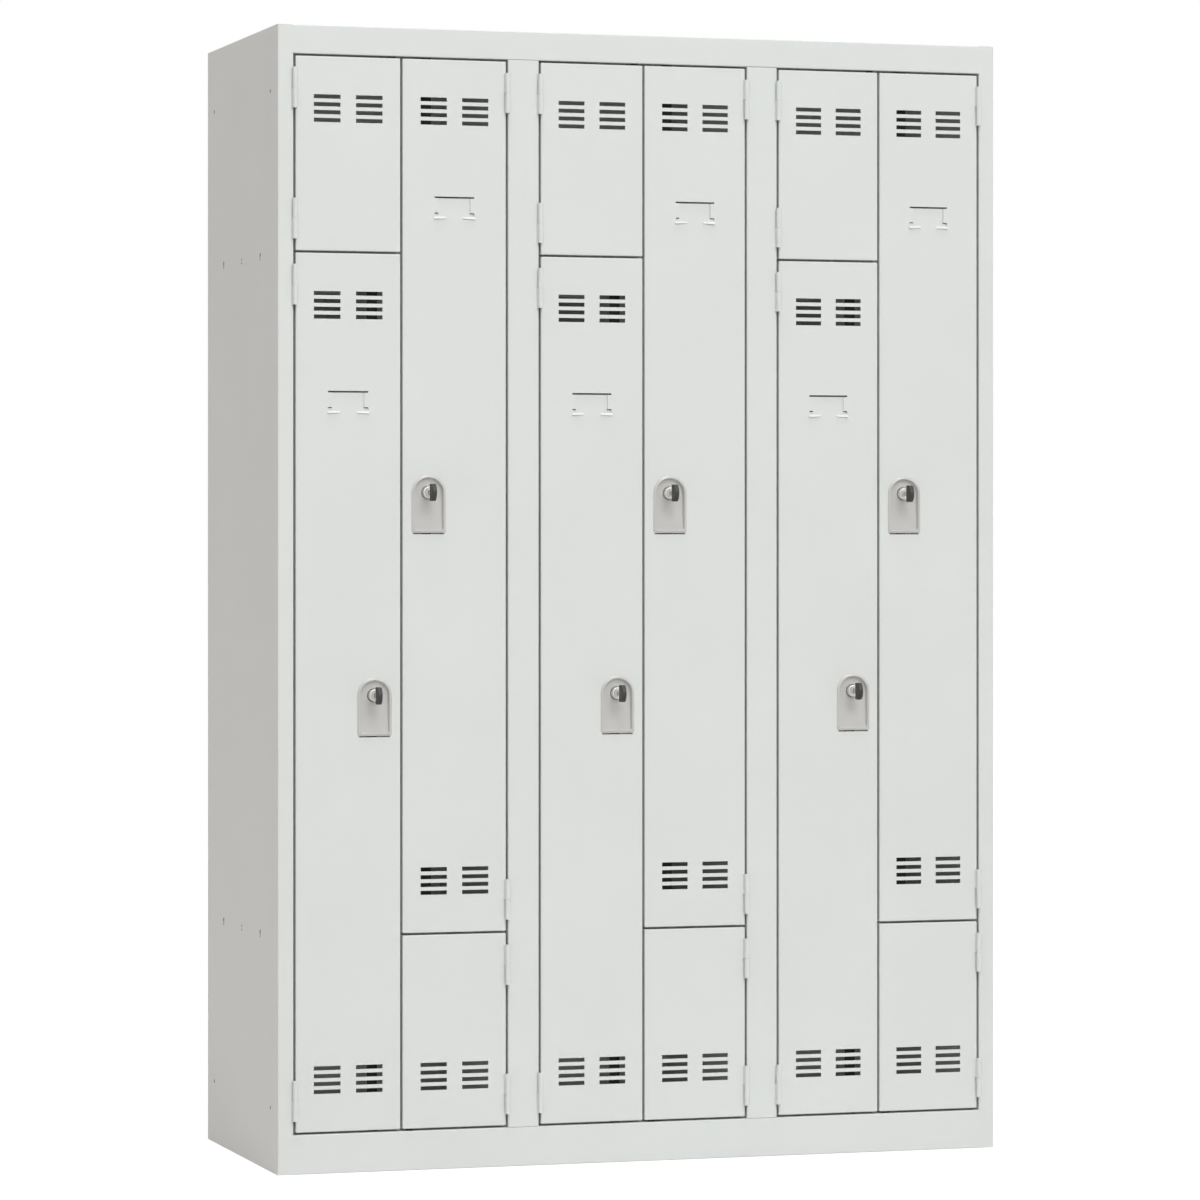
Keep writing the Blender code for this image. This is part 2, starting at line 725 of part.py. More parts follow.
def make_door(door):
    x0, x1, z0, z1 = door.edges()
    pan = make(door.name, [pan_rings(x0, x1, z0, z1)], door.pin_point(),
               material="light_grey_powder_coat")
    welded = []
    bores = []
    for low, high in door.spans():
        bottom = (low + high + FIT) / 2
        welded.append(knuckle(door.hinge_x, door.hand, bottom, high))
        bores.append(pin_bore(door.hinge_x, bottom, high))
    x = door.latch_x()
    end = door.z1 - DOOR_GAP / 2 if door.up else door.z0 + DOOR_GAP / 2
    if door.tall:
        share = BAR_GUIDE_SHARE if door.up else 1 - BAR_GUIDE_SHARE
        welded.append(guide(x, z0 + share * (z1 - z0), BAR_WIDTH / 2, BAR_BACK))
        width, front, back = BAR_WIDTH, BAR_FRONT, BAR_BACK
    else:
        width, front, back = bolt_section()
        welded.append(guide(x, end - door.way() * BOLT_GUIDE_FROM_END, BOLT_WIDTH / 2, back))
    weld(pan, welded)
    cut(pan, bores, "pin_bores")
    half = width / 2 + GUIDE_PLAY
    exit_slot = box(x - half, x + half, front - GUIDE_PLAY, back + GUIDE_PLAY,
                    end - SHEET - OVERRUN, end + SHEET + OVERRUN)
    cut(pan, vents(door) + [exit_slot], "slots")
    if door.tall:
        press_card_holder(door, pan)
        hole = arch(door, CUP_RIM_WIDTH - FIT)
        cut(pan, [prism(hole, "y", -OVERRUN, SHEET + OVERRUN)], "cup_hole")
    return pan


# Locks

def arch(door, inset):
    """Outline of the lock cup, drawn in by a distance.

    It runs over the arch from the right, down to the ramp line, round the lower corners and up.
    """
    x = door.latch_x()
    spring = door.lock_z()
    half = CUP_WIDTH / 2 - inset
    bottom = spring + CUP_WIDTH / 2 - CUP_HEIGHT + inset
    ramp = spring - RAMP_BELOW_LOCK
    corner = max(CUP_CORNER - inset, FIT)
    points = []
    for step in range(CUP_ARC_STEPS + 1):
        turn = math.pi * step / CUP_ARC_STEPS
        points.append((x + half * math.cos(turn), spring + half * math.sin(turn)))
    points.append((x - half, ramp))
    for side, first in ((-1, math.pi), (1, math.pi * 1.5)):
        for step in range(CUP_CORNER_STEPS + 1):
            turn = first + math.pi / 2 * step / CUP_CORNER_STEPS
            points.append((x + side * (half - corner) + corner * math.cos(turn),
                           bottom + corner + corner * math.sin(turn)))
    points.append((x + half, ramp))
    return points


def floor_depth(door, inset):
    """Depth of each point of a ring on the cup's floor, which rises below the ramp line."""
    outline = arch(door, inset)
    ramp = door.lock_z() - RAMP_BELOW_LOCK
    bottom = min(v for u, v in outline)
    rises = [max(0, (ramp - v) / (ramp - bottom)) for u, v in outline]
    return [DISH * (1 - rise * (1 - RAMP_END_SHARE)) for rise in rises]


def cup_ring(door, inset, depths):
    return [place("y", u, v, depth) for (u, v), depth in zip(arch(door, inset), depths)]


def make_cup(door, pan):
    """The dished cup with its raised rim, hooked into the hole in the door."""
    level = [1] * len(arch(door, 0))
    inner = CUP_RIM_WIDTH + CUP_SHEET + CUP_WALL_SLOPE
    outer = CUP_RIM_WIDTH + CUP_WALL_SLOPE
    rings = [cup_ring(door, CUP_RIM_WIDTH, [-FIT * one for one in level]),
             cup_ring(door, 0, [-FIT * one for one in level])]
    rings += [cup_ring(door, CUP_RIM_WIDTH * across, [-CUP_RIM * height] * len(level))
              for across, height in RIM_SHARES]
    floor = cup_ring(door, inner, floor_depth(door, inner))
    back = cup_ring(door, outer, [depth + CUP_SHEET for depth in floor_depth(door, outer)])
    cup = make(door.part_name("lock_cup"), [[back] + rings + [floor]], lock_point(door), pan,
               "light_grey_powder_coat", CUP_ARC_STEPS + 1)
    hole = (LOCK_BODY_RADIUS + FIT) / math.cos(math.pi / LOCK_SIDES)
    cut(cup, [turned(door.latch_x(), door.lock_z(),
                     [(hole, DISH / 2), (hole, DISH + CUP_SHEET + OVERRUN)], "y", LOCK_SIDES)])


def lock_point(door):
    return place("y", door.latch_x(), door.lock_z(), 0)


def plug_front():
    return DISH - LOCK_NOSE + PLUG_RECESS


def blade_end():
    return plug_front() + BLADE_SHARE * (CRANK_FRONT - plug_front())


def make_lock_barrel(door, pan):
    """The fixed barrel, with a tapered nose that stands out of the cup."""
    bore = (PLUG_RADIUS + FIT) / math.cos(math.pi / LOCK_SIDES)
    profile = [
        (bore, DISH - LOCK_NOSE),
        (LOCK_NOSE_RADIUS - LOCK_NOSE_TAPER, DISH - LOCK_NOSE),
        (LOCK_NOSE_RADIUS, DISH - FIT),
        (LOCK_BODY_RADIUS, DISH - FIT),
        (LOCK_BODY_RADIUS, LOCK_BACK),
        (bore, LOCK_BACK),
    ]
    rings = turned(door.latch_x(), door.lock_z(), profile, "y", LOCK_SIDES)
    make(door.part_name("lock_barrel"), [rings + rings[:1]], lock_point(door), pan,
         "zinc_die_cast")


def crank_offset(door):
    """Sideways and upward place of the crank's pin from the lock's axis, unlocked."""
    return (-door.hand * CRANK_THROW * math.cos(CRANK_START),
            -door.way() * CRANK_THROW * math.sin(CRANK_START))


def make_plug(door, pan):
    """The plug, with the keyway in front and the crank that moves the bar behind."""
    x = door.latch_x()
    z = door.lock_z()
    crank_radius = CRANK_THROW + CRANK_PIN_RADIUS + CRANK_MARGIN
    profile = [
        (PLUG_RADIUS, plug_front()),
        (PLUG_RADIUS, CRANK_FRONT),
        (crank_radius, CRANK_FRONT),
        (crank_radius, CRANK_BACK),
    ]
    plug = make(door.part_name("lock_plug"), [turned(x, z, profile, "y", LOCK_SIDES)],
                lock_point(door), pan, "zinc_die_cast")
    across, up = crank_offset(door)
    pin = [(CRANK_PIN_RADIUS, CRANK_BACK - CRANK_PLATE / 2), (CRANK_PIN_RADIUS, BAR_BACK)]
    weld(plug, [turned(x + across, z + up, pin, "y", PIN_SIDES)])
    width = KEY_BLADE_THICKNESS / 2 + FIT
    height = KEY_BLADE_HEIGHT / 2 + FIT
    cut(plug, [box(x - width, x + width, plug_front() - OVERRUN, blade_end() + FIT,
                   z - height, z + height)])


def make_key(door, pan):
    """The key: a flat blade in the plug and a moulded head that stands out of the cup."""
    x = door.latch_x()
    z = door.lock_z()
    head_back = KEY_HEAD_LENGTH - KEY_PROUD
    half = KEY_HEAD_HEIGHT / 2

    def head(inset, w):
        """Side view of the head: square at the blade, arched at the outer end."""
        arch_radius = KEY_ARCH_SHARE * KEY_HEAD_HEIGHT
        radius = arch_radius - inset
        reach = math.asin((half - inset) / radius)
        points = [(head_back - inset, z - half + inset), (head_back - inset, z + half - inset)]
        for step in range(KEY_ARC_STEPS + 1):
            turn = reach * (1 - 2 * step / KEY_ARC_STEPS)
            points.append((arch_radius - KEY_PROUD - radius * math.cos(turn),
                           z + radius * math.sin(turn)))
        return [place("x", depth, height, w) for depth, height in points]

    thick = KEY_HEAD_THICKNESS / 2
    key = make(door.part_name("key"),
               [[head(KEY_HEAD_EDGE, x - thick), head(0, x - thick + KEY_HEAD_EDGE),
                 head(0, x + thick - KEY_HEAD_EDGE), head(KEY_HEAD_EDGE, x + thick)]],
               lock_point(door), pan, "black_nylon")
    weld(key, [box(x - KEY_BLADE_THICKNESS / 2, x + KEY_BLADE_THICKNESS / 2,
                   head_back - KEY_HEAD_EDGE * 2, blade_end(),
                   z - KEY_BLADE_HEIGHT / 2, z + KEY_BLADE_HEIGHT / 2)])


def make_locking_bar(door, pan):
    """The flat bar along a tall door, with the slotted lug that the crank's pin moves."""
    x = door.latch_x()
    way = door.way()
    tip = door.rail_z() - way * BAR_TIP_CLEAR
    other = (door.z0 if door.up else door.z1) + way * (DOOR_GAP / 2 + SHEET + BAR_END_SPACE)
    across, up = crank_offset(door)
    side = -door.hand
    middle = door.lock_z() + up
    slot_half = CRANK_PIN_RADIUS + YOKE_SLOT_PLAY
    slot_near = abs(across) - slot_half
    slot_far = CRANK_THROW + slot_half
    lug = slot_far + YOKE_MARGIN
    lug_half = slot_half + YOKE_MARGIN
    half = BAR_WIDTH / 2
    outline = [
        (-half, other), (half, other), (half, middle - way * lug_half),
        (lug, middle - way * lug_half), (lug, middle + way * lug_half),
        (half, middle + way * lug_half), (half, tip), (-half, tip),
    ]
    outline = shifted(mirrored(outline, side), x, 0)
    bar = make(door.part_name("locking_bar"), [prism(outline, "y", BAR_FRONT, BAR_BACK)],
               place("y", x, tip, BAR_FRONT), pan, "black_steel")
    cut(bar, [box(*sorted((x + side * slot_near, x + side * slot_far)), BAR_FRONT - OVERRUN,
                  BAR_BACK + OVERRUN, middle - slot_half, middle + slot_half)])


def make_bolt(door, pan):
    """The bolt inside a small door, bent out at its other end into a finger tab."""
    x = door.latch_x()
    tip = door.rail_z() - door.way() * BAR_TIP_CLEAR
    low = tip - door.way() * BOLT_LENGTH
    path = [(BOLT_DEPTH, tip), (BOLT_DEPTH, low), (BOLT_DEPTH + BOLT_TAB, low)]
    make(door.part_name("bolt"),
         [sheet_prism(path, "x", x - BOLT_WIDTH / 2, x + BOLT_WIDTH / 2, BOLT_THICKNESS)],
         place("y", x, tip, BOLT_DEPTH), pan, "black_steel")


clear_scene()
DOORS = all_doors()
make_side_panel("side_panel_left", -1, DOORS)
make_side_panel("side_panel_right", 1, DOORS)
make_top_panel(DOORS)
make_bottom_panel(DOORS)
make_back_panel()
for boundary in range(1, COLUMNS):
    make_partition(boundary, DOORS)
for number in range(COLUMNS):
    make_divider(number)
for each in DOORS:
    leaf = make_door(each)
    if each.tall:
        make_cup(each, leaf)
        make_lock_barrel(each, leaf)
        make_plug(each, leaf)
        make_key(each, leaf)
        make_locking_bar(each, leaf)
    else:
        make_bolt(each, leaf)
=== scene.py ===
"""Looks of a three-column Z locker: powder-coated sheet steel, moulded lock cups, keys and bars.

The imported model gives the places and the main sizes. Lengths are in metres, +Z is up and the doors
face -Y. Sheets are drawn on their middle line and then given their thickness. Where a piece
repeats in each column, it is modelled in the first one and copied.
"""

import json
import math

import bmesh
import bpy
from mathutils import Matrix, Vector


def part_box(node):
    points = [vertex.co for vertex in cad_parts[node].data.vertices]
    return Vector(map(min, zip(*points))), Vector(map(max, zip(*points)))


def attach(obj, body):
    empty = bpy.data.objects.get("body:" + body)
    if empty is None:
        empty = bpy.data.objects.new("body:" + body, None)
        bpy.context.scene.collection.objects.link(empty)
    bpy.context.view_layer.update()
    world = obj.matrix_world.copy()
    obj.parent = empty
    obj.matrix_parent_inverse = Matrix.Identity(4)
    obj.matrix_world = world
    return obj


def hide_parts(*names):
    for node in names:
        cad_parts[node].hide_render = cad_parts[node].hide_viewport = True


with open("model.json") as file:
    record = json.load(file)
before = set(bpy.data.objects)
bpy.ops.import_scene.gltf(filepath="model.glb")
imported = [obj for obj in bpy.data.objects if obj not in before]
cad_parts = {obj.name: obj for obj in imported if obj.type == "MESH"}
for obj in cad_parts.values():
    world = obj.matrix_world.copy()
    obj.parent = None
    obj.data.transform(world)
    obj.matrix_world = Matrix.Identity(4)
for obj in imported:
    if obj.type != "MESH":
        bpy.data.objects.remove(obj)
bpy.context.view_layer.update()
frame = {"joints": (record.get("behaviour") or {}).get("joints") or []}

# Side walls. Each is one sheet of mild steel, folded round the front into stile, jamb and door
# stop and flanged at the back, with holes punched for the neighbour's bolts, the shelves' clips
# and rivets. All the sheet metal has one light grey powder coat, baked on after welding.

SHEET = 0.001
FOLD_RADIUS = 0.0013
FOLD_STEPS = 3
FIT = 0.0003
SPARE = 0.002
TINY = 0.00005
SMOOTH_ANGLE = math.radians(40)
COLUMNS = 3
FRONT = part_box("top_panel")[0].y
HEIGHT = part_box("side_panel_left")[1].z
HALF_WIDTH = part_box("side_panel_right")[1].x
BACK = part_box("side_panel_left")[1].y
PITCH = 2 * HALF_WIDTH / COLUMNS
STILE = 0.0254
STILE_SEAM = 0.0236
STOP_DEPTH = 0.0215
STOP_LIP = 0.012
BACK_FLANGE = 0.018
TOP_RAIL = 0.045
PLINTH = 0.062
SMALL_BAY = 0.310
OPENING_TOP = HEIGHT - TOP_RAIL
UPPER_SPLIT = OPENING_TOP - SMALL_BAY
LOWER_SPLIT = PLINTH + SMALL_BAY
CORNER_HOLE = 0.003
CORNER_HOLE_INSET = 0.050
CORNER_HOLE_FROM_END = 0.101
CLIP_HOLE = 0.0036
CLIP_SLOT = (0.0036, 0.009)
CLIP_INSET = 0.120
RIVET_RADIUS = 0.0020
RIVET_PITCH = 0.0063
SMALL_HOLE_SIDES = 16


def linear(code):
    """The linear colour of an sRGB hex code."""
    values = [int(code[place:place + 2], 16) / 255 for place in (0, 2, 4)]
    return [v / 12.92 if v <= 0.04045 else ((v + 0.055) / 1.055) ** 2.4 for v in values] + [1]


def add_node(tree, kind, values=None, links=None, **settings):
    """Adds a shader node with its settings, input values and links from (node, output) pairs."""
    node = tree.nodes.new("ShaderNode" + kind)
    for name, value in settings.items():
        setattr(node, name, value)
    for name, value in (values or {}).items():
        node.inputs[name].default_value = value
    for name, (source, output) in (links or {}).items():
        tree.links.new(source.outputs[output], node.inputs[name])
    return node


def coat(name, dark, light, patch, grain, rough, relief, **sockets):
    """A surface whose colour drifts over patches, with a fine grain in its gloss and relief."""
    material = bpy.data.materials.new(name)
    material.use_nodes = True
    tree = material.node_tree
    shader = tree.nodes["Principled BSDF"]
    for socket, value in sockets.items():
        shader.inputs[socket].default_value = value
    place = add_node(tree, "TexCoord")
    drift = add_node(tree, "TexNoise", {"Scale": 1 / patch, "Detail": 2},
                     {"Vector": (place, "Object")})
    tint = add_node(tree, "MixRGB", {"Color1": linear(dark), "Color2": linear(light)},
                    {"Fac": (drift, "Fac")})
    speck = add_node(tree, "TexNoise", {"Scale": 1 / grain, "Detail": 1},
                     {"Vector": (place, "Object")})
    gloss = add_node(tree, "MapRange", {"To Min": rough[0], "To Max": rough[1]},
                     {"Value": (speck, "Fac")})
    bumps = add_node(tree, "Bump", {"Strength": relief, "Distance": 0.0001},
                     {"Height": (speck, "Fac")})
    tree.links.new(tint.outputs["Color"], shader.inputs["Base Color"])
    tree.links.new(gloss.outputs["Result"], shader.inputs["Roughness"])
    tree.links.new(bumps.outputs["Normal"], shader.inputs["Normal"])
    return material


# Polyester powder gives an orange-peel wave a few millimetres long and a low sheen. The wave is
# drawn a little coarser than life so that it still shows from a step away.
POWDER_COAT = coat("powder_coat_light_grey", "D8DAD7", "DEE0DD", patch=0.22, grain=0.0035,
                   rough=(0.40, 0.50), relief=0.12)


def deselect():
    """Leaves edit mode, with nothing selected."""
    if bpy.context.object and bpy.context.object.mode == "EDIT":
        bpy.ops.object.mode_set(mode="OBJECT")
    bpy.ops.object.select_all(action="DESELECT")


def select(*pieces):
    deselect()
    for piece in pieces:
        piece.select_set(True)
    bpy.context.view_layer.objects.active = pieces[0]


def edit(piece):
    select(piece)
    bpy.ops.object.mode_set(mode="EDIT")
    bpy.ops.mesh.select_all(action="SELECT")


def pick(kind, test):
    """In edit mode, selects the vertices, edges or faces whose list of corners passes a test."""
    bpy.ops.mesh.select_mode(type=kind)
    bpy.ops.mesh.select_all(action="DESELECT")
    mesh = bmesh.from_edit_mesh(bpy.context.object.data)
    for item in {"VERT": mesh.verts, "EDGE": mesh.edges, "FACE": mesh.faces}[kind]:
        if test([item.co] if kind == "VERT" else [corner.co for corner in item.verts]):
            item.select_set(True)
    mesh.select_flush_mode()
    bmesh.update_edit_mesh(bpy.context.object.data)


def modify(piece, kind, **settings):
    """Adds a modifier with its settings, and applies it."""
    select(piece)
    modifier = piece.modifiers.new(kind, kind)
    for name, value in settings.items():
        setattr(modifier, name, value)
    bpy.ops.object.modifier_apply(modifier=modifier.name)
    return piece


def spot(along, u, v, w):
    """A point from its place (u, v) in an outline and its distance w along an axis."""
    return Vector({"x": (w, u, v), "y": (u, w, v), "z": (u, v, w)}[along])


def block(xs, ys, zs):
    """A block between three pairs of limits, given in any order."""
    deselect()
    limits = (xs, ys, zs)
    bpy.ops.mesh.primitive_cube_add(size=1, location=[sum(pair) / 2 for pair in limits])
    bpy.context.object.scale = [abs(pair[1] - pair[0]) for pair in limits]
    bpy.ops.object.transform_apply()
    return bpy.context.object


def rod(along, u, v, radius, start, end, sides=32):
    """A round bar, disc or drill about an axis through (u, v)."""
    deselect()
    turn = {"x": (0, math.pi / 2, 0), "y": (math.pi / 2, 0, 0), "z": (0, 0, 0)}[along]
    bpy.ops.mesh.primitive_cylinder_add(vertices=sides, radius=radius, depth=abs(end - start),
                                        location=spot(along, u, v, (start + end) / 2),
                                        rotation=turn)
    bpy.ops.object.transform_apply()
    return bpy.context.object


def join(pieces):
    select(*pieces)
    if len(pieces) > 1:
        bpy.ops.object.join()
    return pieces[0]


def combine(piece, tools, operation="DIFFERENCE"):
    """Cuts tools out of a piece, or welds them to it, which also joins tools that touch."""
    tool = join(tools)
    modify(piece, "BOOLEAN", operation=operation, solver="EXACT", use_self=True, object=tool)
    bpy.data.objects.remove(tool)
    return piece


def ease(piece, width, steps=2, angle=30):
    """Rounds the edges that are sharper than an angle."""
    return modify(piece, "BEVEL", width=width, segments=steps, limit_method="ANGLE",
                  angle_limit=math.radians(angle), use_clamp_overlap=True)


def fold_sheet(corners, along, start, end, thickness=SHEET, radius=FOLD_RADIUS):
    """Folds a sheet along the corners of its middle line, then gives it its thickness."""
    near = [spot(along, u, v, start) for u, v in corners]
    grain = spot(along, 0, 0, 1)
    run = near[1] - near[0]
    turn = Matrix((run.normalized(), grain, run.normalized().cross(grain))).transposed()
    deselect()
    bpy.ops.mesh.primitive_plane_add(size=1, rotation=turn.to_euler(),
                                     location=(near[0] + near[1] + grain * (end - start)) / 2)
    bpy.context.object.scale = (run.length, end - start, 1)
    bpy.ops.object.transform_apply()
    sheet = bpy.context.object
    edit(sheet)
    pick("EDGE", lambda ends: all((end - near[1]).cross(grain).length < TINY for end in ends))
    for here, there in zip(near[1:], near[2:]):
        bpy.ops.mesh.extrude_region_move(TRANSFORM_OT_translate={"value": there - here})
    pick("EDGE", lambda ends: any(all((end - fold).cross(grain).length < TINY for end in ends)
                                  for fold in near[1:-1]))
    bpy.ops.mesh.bevel(offset=radius, segments=FOLD_STEPS, affect="EDGES")
    return modify(sheet, "SOLIDIFY", thickness=thickness, offset=0, use_even_offset=True)


def finish_piece(piece, name, body, slot, material, *nodes):
    """Smooths, names and coats a piece, and puts it on its body, in place of its CAD nodes."""
    select(piece)
    bpy.ops.object.transform_apply()
    bpy.ops.object.shade_smooth_by_angle(angle=SMOOTH_ANGLE)
    modify(piece, "WEIGHTED_NORMAL", keep_sharp=True)
    piece.name = name
    piece.data.name = name
    piece.data.materials.clear()
    piece.data.materials.append(material)
    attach(piece, body)
    if nodes:
        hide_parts(*nodes)


def in_each_column(piece, name, body, slot, material, *nodes):
    """Finishes a piece of the first column and its copies in the others."""
    pieces = [piece]
    for column in range(1, COLUMNS):
        twin = piece.copy()
        twin.data = piece.data.copy()
        bpy.context.scene.collection.objects.link(twin)
        twin.location.x += column * PITCH
        pieces.append(twin)
    for column, each in enumerate(pieces):
        number = "_" + str(column + 1)
        finish_piece(each, name + number, body if body == "carcass" else body + number, slot,
                     material, *[node + number for node in nodes])


def stop_notches(x0, x1):
    """Room in a stile's or post's door stop for the stops of the two rails."""
    depths = (FRONT + STOP_DEPTH - FOLD_RADIUS, FRONT + STOP_DEPTH + SPARE)
    return [block((x0, x1), depths, (OPENING_TOP - STOP_LIP, OPENING_TOP + SPARE)),
            block((x0, x1), depths, (PLINTH - SPARE, PLINTH + STOP_LIP))]


def wall_fittings(x0, x1, spare):
    """What fills a side wall's holes, or, a little larger, punches them: plugs, then rivets."""
    plugs = [rod("x", y, z, CORNER_HOLE + spare, x0, x1)
             for y in (FRONT + CORNER_HOLE_INSET, BACK - CORNER_HOLE_INSET)
             for z in (CORNER_HOLE_FROM_END, HEIGHT - CORNER_HOLE_FROM_END)]
    rivets = []
    for shelf in (LOWER_SPLIT, UPPER_SPLIT):
        for y in (FRONT + CLIP_INSET, BACK - CLIP_INSET):
            half = CLIP_SLOT[0] / 2 + spare
            plugs.append(rod("x", y, shelf, CLIP_HOLE + spare, x0, x1))
            combine(plugs[-1], [block((x0, x1), (y - half, y + half),
                                      (shelf - CLIP_SLOT[1] - spare, shelf))], "UNION")
        rivets += [rod("x", (FRONT + BACK) / 2, shelf - step * RIVET_PITCH,
                       RIVET_RADIUS + spare, x0, x1, sides=SMALL_HOLE_SIDES) for step in (0, 1)]
    return plugs, rivets


for side, label in ((-1, "left"), (1, "right")):
    wall = side * HALF_WIDTH
    panel = fold_sheet([
        (wall - side * BACK_FLANGE, BACK - SHEET / 2),
        (wall - side * SHEET / 2, BACK - SHEET / 2),
        (wall - side * SHEET / 2, FRONT + SHEET / 2),
        (wall - side * (STILE - SHEET / 2), FRONT + SHEET / 2),
        (wall - side * (STILE - SHEET / 2), FRONT + STOP_DEPTH),
        (wall - side * (STILE + STOP_LIP), FRONT + STOP_DEPTH),
    ], "z", 0, HEIGHT)
    across = (wall - side * STILE_SEAM, wall - side * (STILE + STOP_LIP + SPARE))
    to_stop = (FRONT - SPARE, FRONT + STOP_DEPTH + SPARE)
    combine(panel, stop_notches(*across) + [
        block(across, to_stop, (OPENING_TOP, HEIGHT + SPARE)),
        block(across, to_stop, (-SPARE, PLINTH)),
    ])
    plugs, rivets = wall_fittings(wall - SHEET - SPARE, wall + SHEET + SPARE, 2 * TINY)
    combine(panel, plugs + rivets)
    finish_piece(panel, label + "_side_wall", "carcass", "powder_coated_steel", POWDER_COAT,
                 "side_panel_" + label)

# Plugs and rivets in the side walls, flush with the wall: black nylon plugs in the bolt and clip
# holes, and pairs of black steel rivets at mid depth. Their black is painted shade: it stands for
# the dark inside open holes.

# Injection-moulded nylon: near black, with a fine spark-eroded grain that scatters the light.
BLACK_NYLON = coat("black_nylon", "252423", "2E2D2B", patch=0.008, grain=0.0006,
                   rough=(0.42, 0.56), relief=0.25)
# Flat bar with a black dip coat: thin, even and dull, so that it is lost in the dark inside.
BLACK_STEEL = coat("black_coated_steel", "0D0D0E", "161617", patch=0.03, grain=0.001,
                   rough=(0.45, 0.58), relief=0.08, **{"Specular IOR Level": 0.3})

for side, label in ((-1, "left"), (1, "right")):
    outer = side * (HALF_WIDTH - TINY)
    plugs, rivets = wall_fittings(outer, outer - side * (SHEET - TINY), 0)
    # The black of these fills is painted shade, in place of the dark inside open holes.
    finish_piece(join(plugs), label + "_wall_plugs", "carcass", "black_nylon", BLACK_NYLON)
    finish_piece(join(rivets), label + "_shelf_rivets", "carcass", "black_steel", BLACK_STEEL)

# Roof and top rail. One sheet, folded down in front into the rail, back under it and down again
# as the stop that the doors close on. Slots in its underside take the tips of bars and bolts.

BAR_WIDTH = 0.016
BAR_THICKNESS = 0.003
BAR_FRONT = FRONT + 0.0147
BOLT_WIDTH = 0.011
BOLT_FRONT = FRONT + 0.0040
STRIKE_PLAY = 0.001
RAIL_REACH = HALF_WIDTH - SHEET - FIT
ROOF_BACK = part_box("top_panel")[1].y
INSIDE_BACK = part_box("z_divider_1")[1].y
LOCKS = {joint["child"]: Vector(joint["pos_m"]) for joint in frame["joints"]
         if "_key_" in joint["child"]}


def rail_corners():
    """What a rail's front face leaves out for the stiles at both ends."""
    return [block((side * (HALF_WIDTH - STILE_SEAM), side * (HALF_WIDTH + SPARE)),
                  (FRONT - SPARE, FRONT + FOLD_RADIUS + SHEET), (-SPARE, HEIGHT + SPARE))
            for side in (-1, 1)]


def strike_slots(place, height):
    """Slots in the upper or lower rail for the bars and bolts that run into it."""
    slots = []
    for column in range(COLUMNS):
        number = "_" + str(column + 1)
        low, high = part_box(place + "_bolt" + number)
        for x, half, front in (
                (LOCKS[place + "_key" + number].x, BAR_WIDTH / 2 + STRIKE_PLAY, BAR_FRONT),
                ((low.x + high.x) / 2, BOLT_WIDTH / 2 + STRIKE_PLAY, BOLT_FRONT)):
            slots.append(block((x - half, x + half),
                               (front - STRIKE_PLAY, front + BAR_THICKNESS + STRIKE_PLAY),
                               (height - SHEET - SPARE, height + SHEET + SPARE)))
    return slots


roof = fold_sheet([
    (ROOF_BACK, HEIGHT - SHEET / 2),
    (FRONT + SHEET / 2, HEIGHT - SHEET / 2),
    (FRONT + SHEET / 2, OPENING_TOP + SHEET / 2),
    (FRONT + STOP_DEPTH, OPENING_TOP + SHEET / 2),
    (FRONT + STOP_DEPTH, OPENING_TOP - STOP_LIP),
], "x", -RAIL_REACH, RAIL_REACH)
combine(roof, rail_corners() + strike_slots("upper", OPENING_TOP))
finish_piece(roof, "roof_and_top_rail", "carcass", "powder_coated_steel", POWDER_COAT, "top_panel")

# Floor and plinth. The same kind of sheet as the roof, turned over: a foot return on the ground,
# the plinth, the lower door stop, and the floor of the lockers.

PLINTH_RETURN = 0.020

base = fold_sheet([
    (FRONT + PLINTH_RETURN, SHEET / 2),
    (FRONT + SHEET / 2, SHEET / 2),
    (FRONT + SHEET / 2, PLINTH - SHEET / 2),
    (FRONT + STOP_DEPTH, PLINTH - SHEET / 2),
    (FRONT + STOP_DEPTH, PLINTH + STOP_LIP - SHEET / 2),
    (INSIDE_BACK, PLINTH + STOP_LIP - SHEET / 2),
], "x", -RAIL_REACH, RAIL_REACH)
combine(base, rail_corners() + strike_slots("lower", PLINTH))
finish_piece(base, "floor_and_plinth", "carcass", "powder_coated_steel", POWDER_COAT,
             "bottom_panel")

# Back. A plain sheet let in between the side walls' flanges and spot-welded to the partitions,
# where shallow round marks show through the coat.

SPOT_WELD_RADIUS = 0.003
SPOT_WELD_PITCH = 0.150
SPOT_WELD_DEPTH = 0.00015

low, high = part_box("back_panel")
back = block((low.x, high.x), (low.y, high.y), (low.z, high.z))
combine(back, [rod("y", side * PITCH / 2, step * SPOT_WELD_PITCH, SPOT_WELD_RADIUS,
                   high.y - SPOT_WELD_DEPTH, high.y + SPARE, sides=SMALL_HOLE_SIDES)
               for side in (-1, 1) for step in range(1, int(HEIGHT / SPOT_WELD_PITCH))])
finish_piece(back, "back_sheet", "carcass", "powder_coated_steel", POWDER_COAT, "back_panel")

# Partitions. Between two columns stands a hat-shaped post, folded from one sheet, with the wall
# spot-welded behind it. The doors on both sides of it hang on the post.

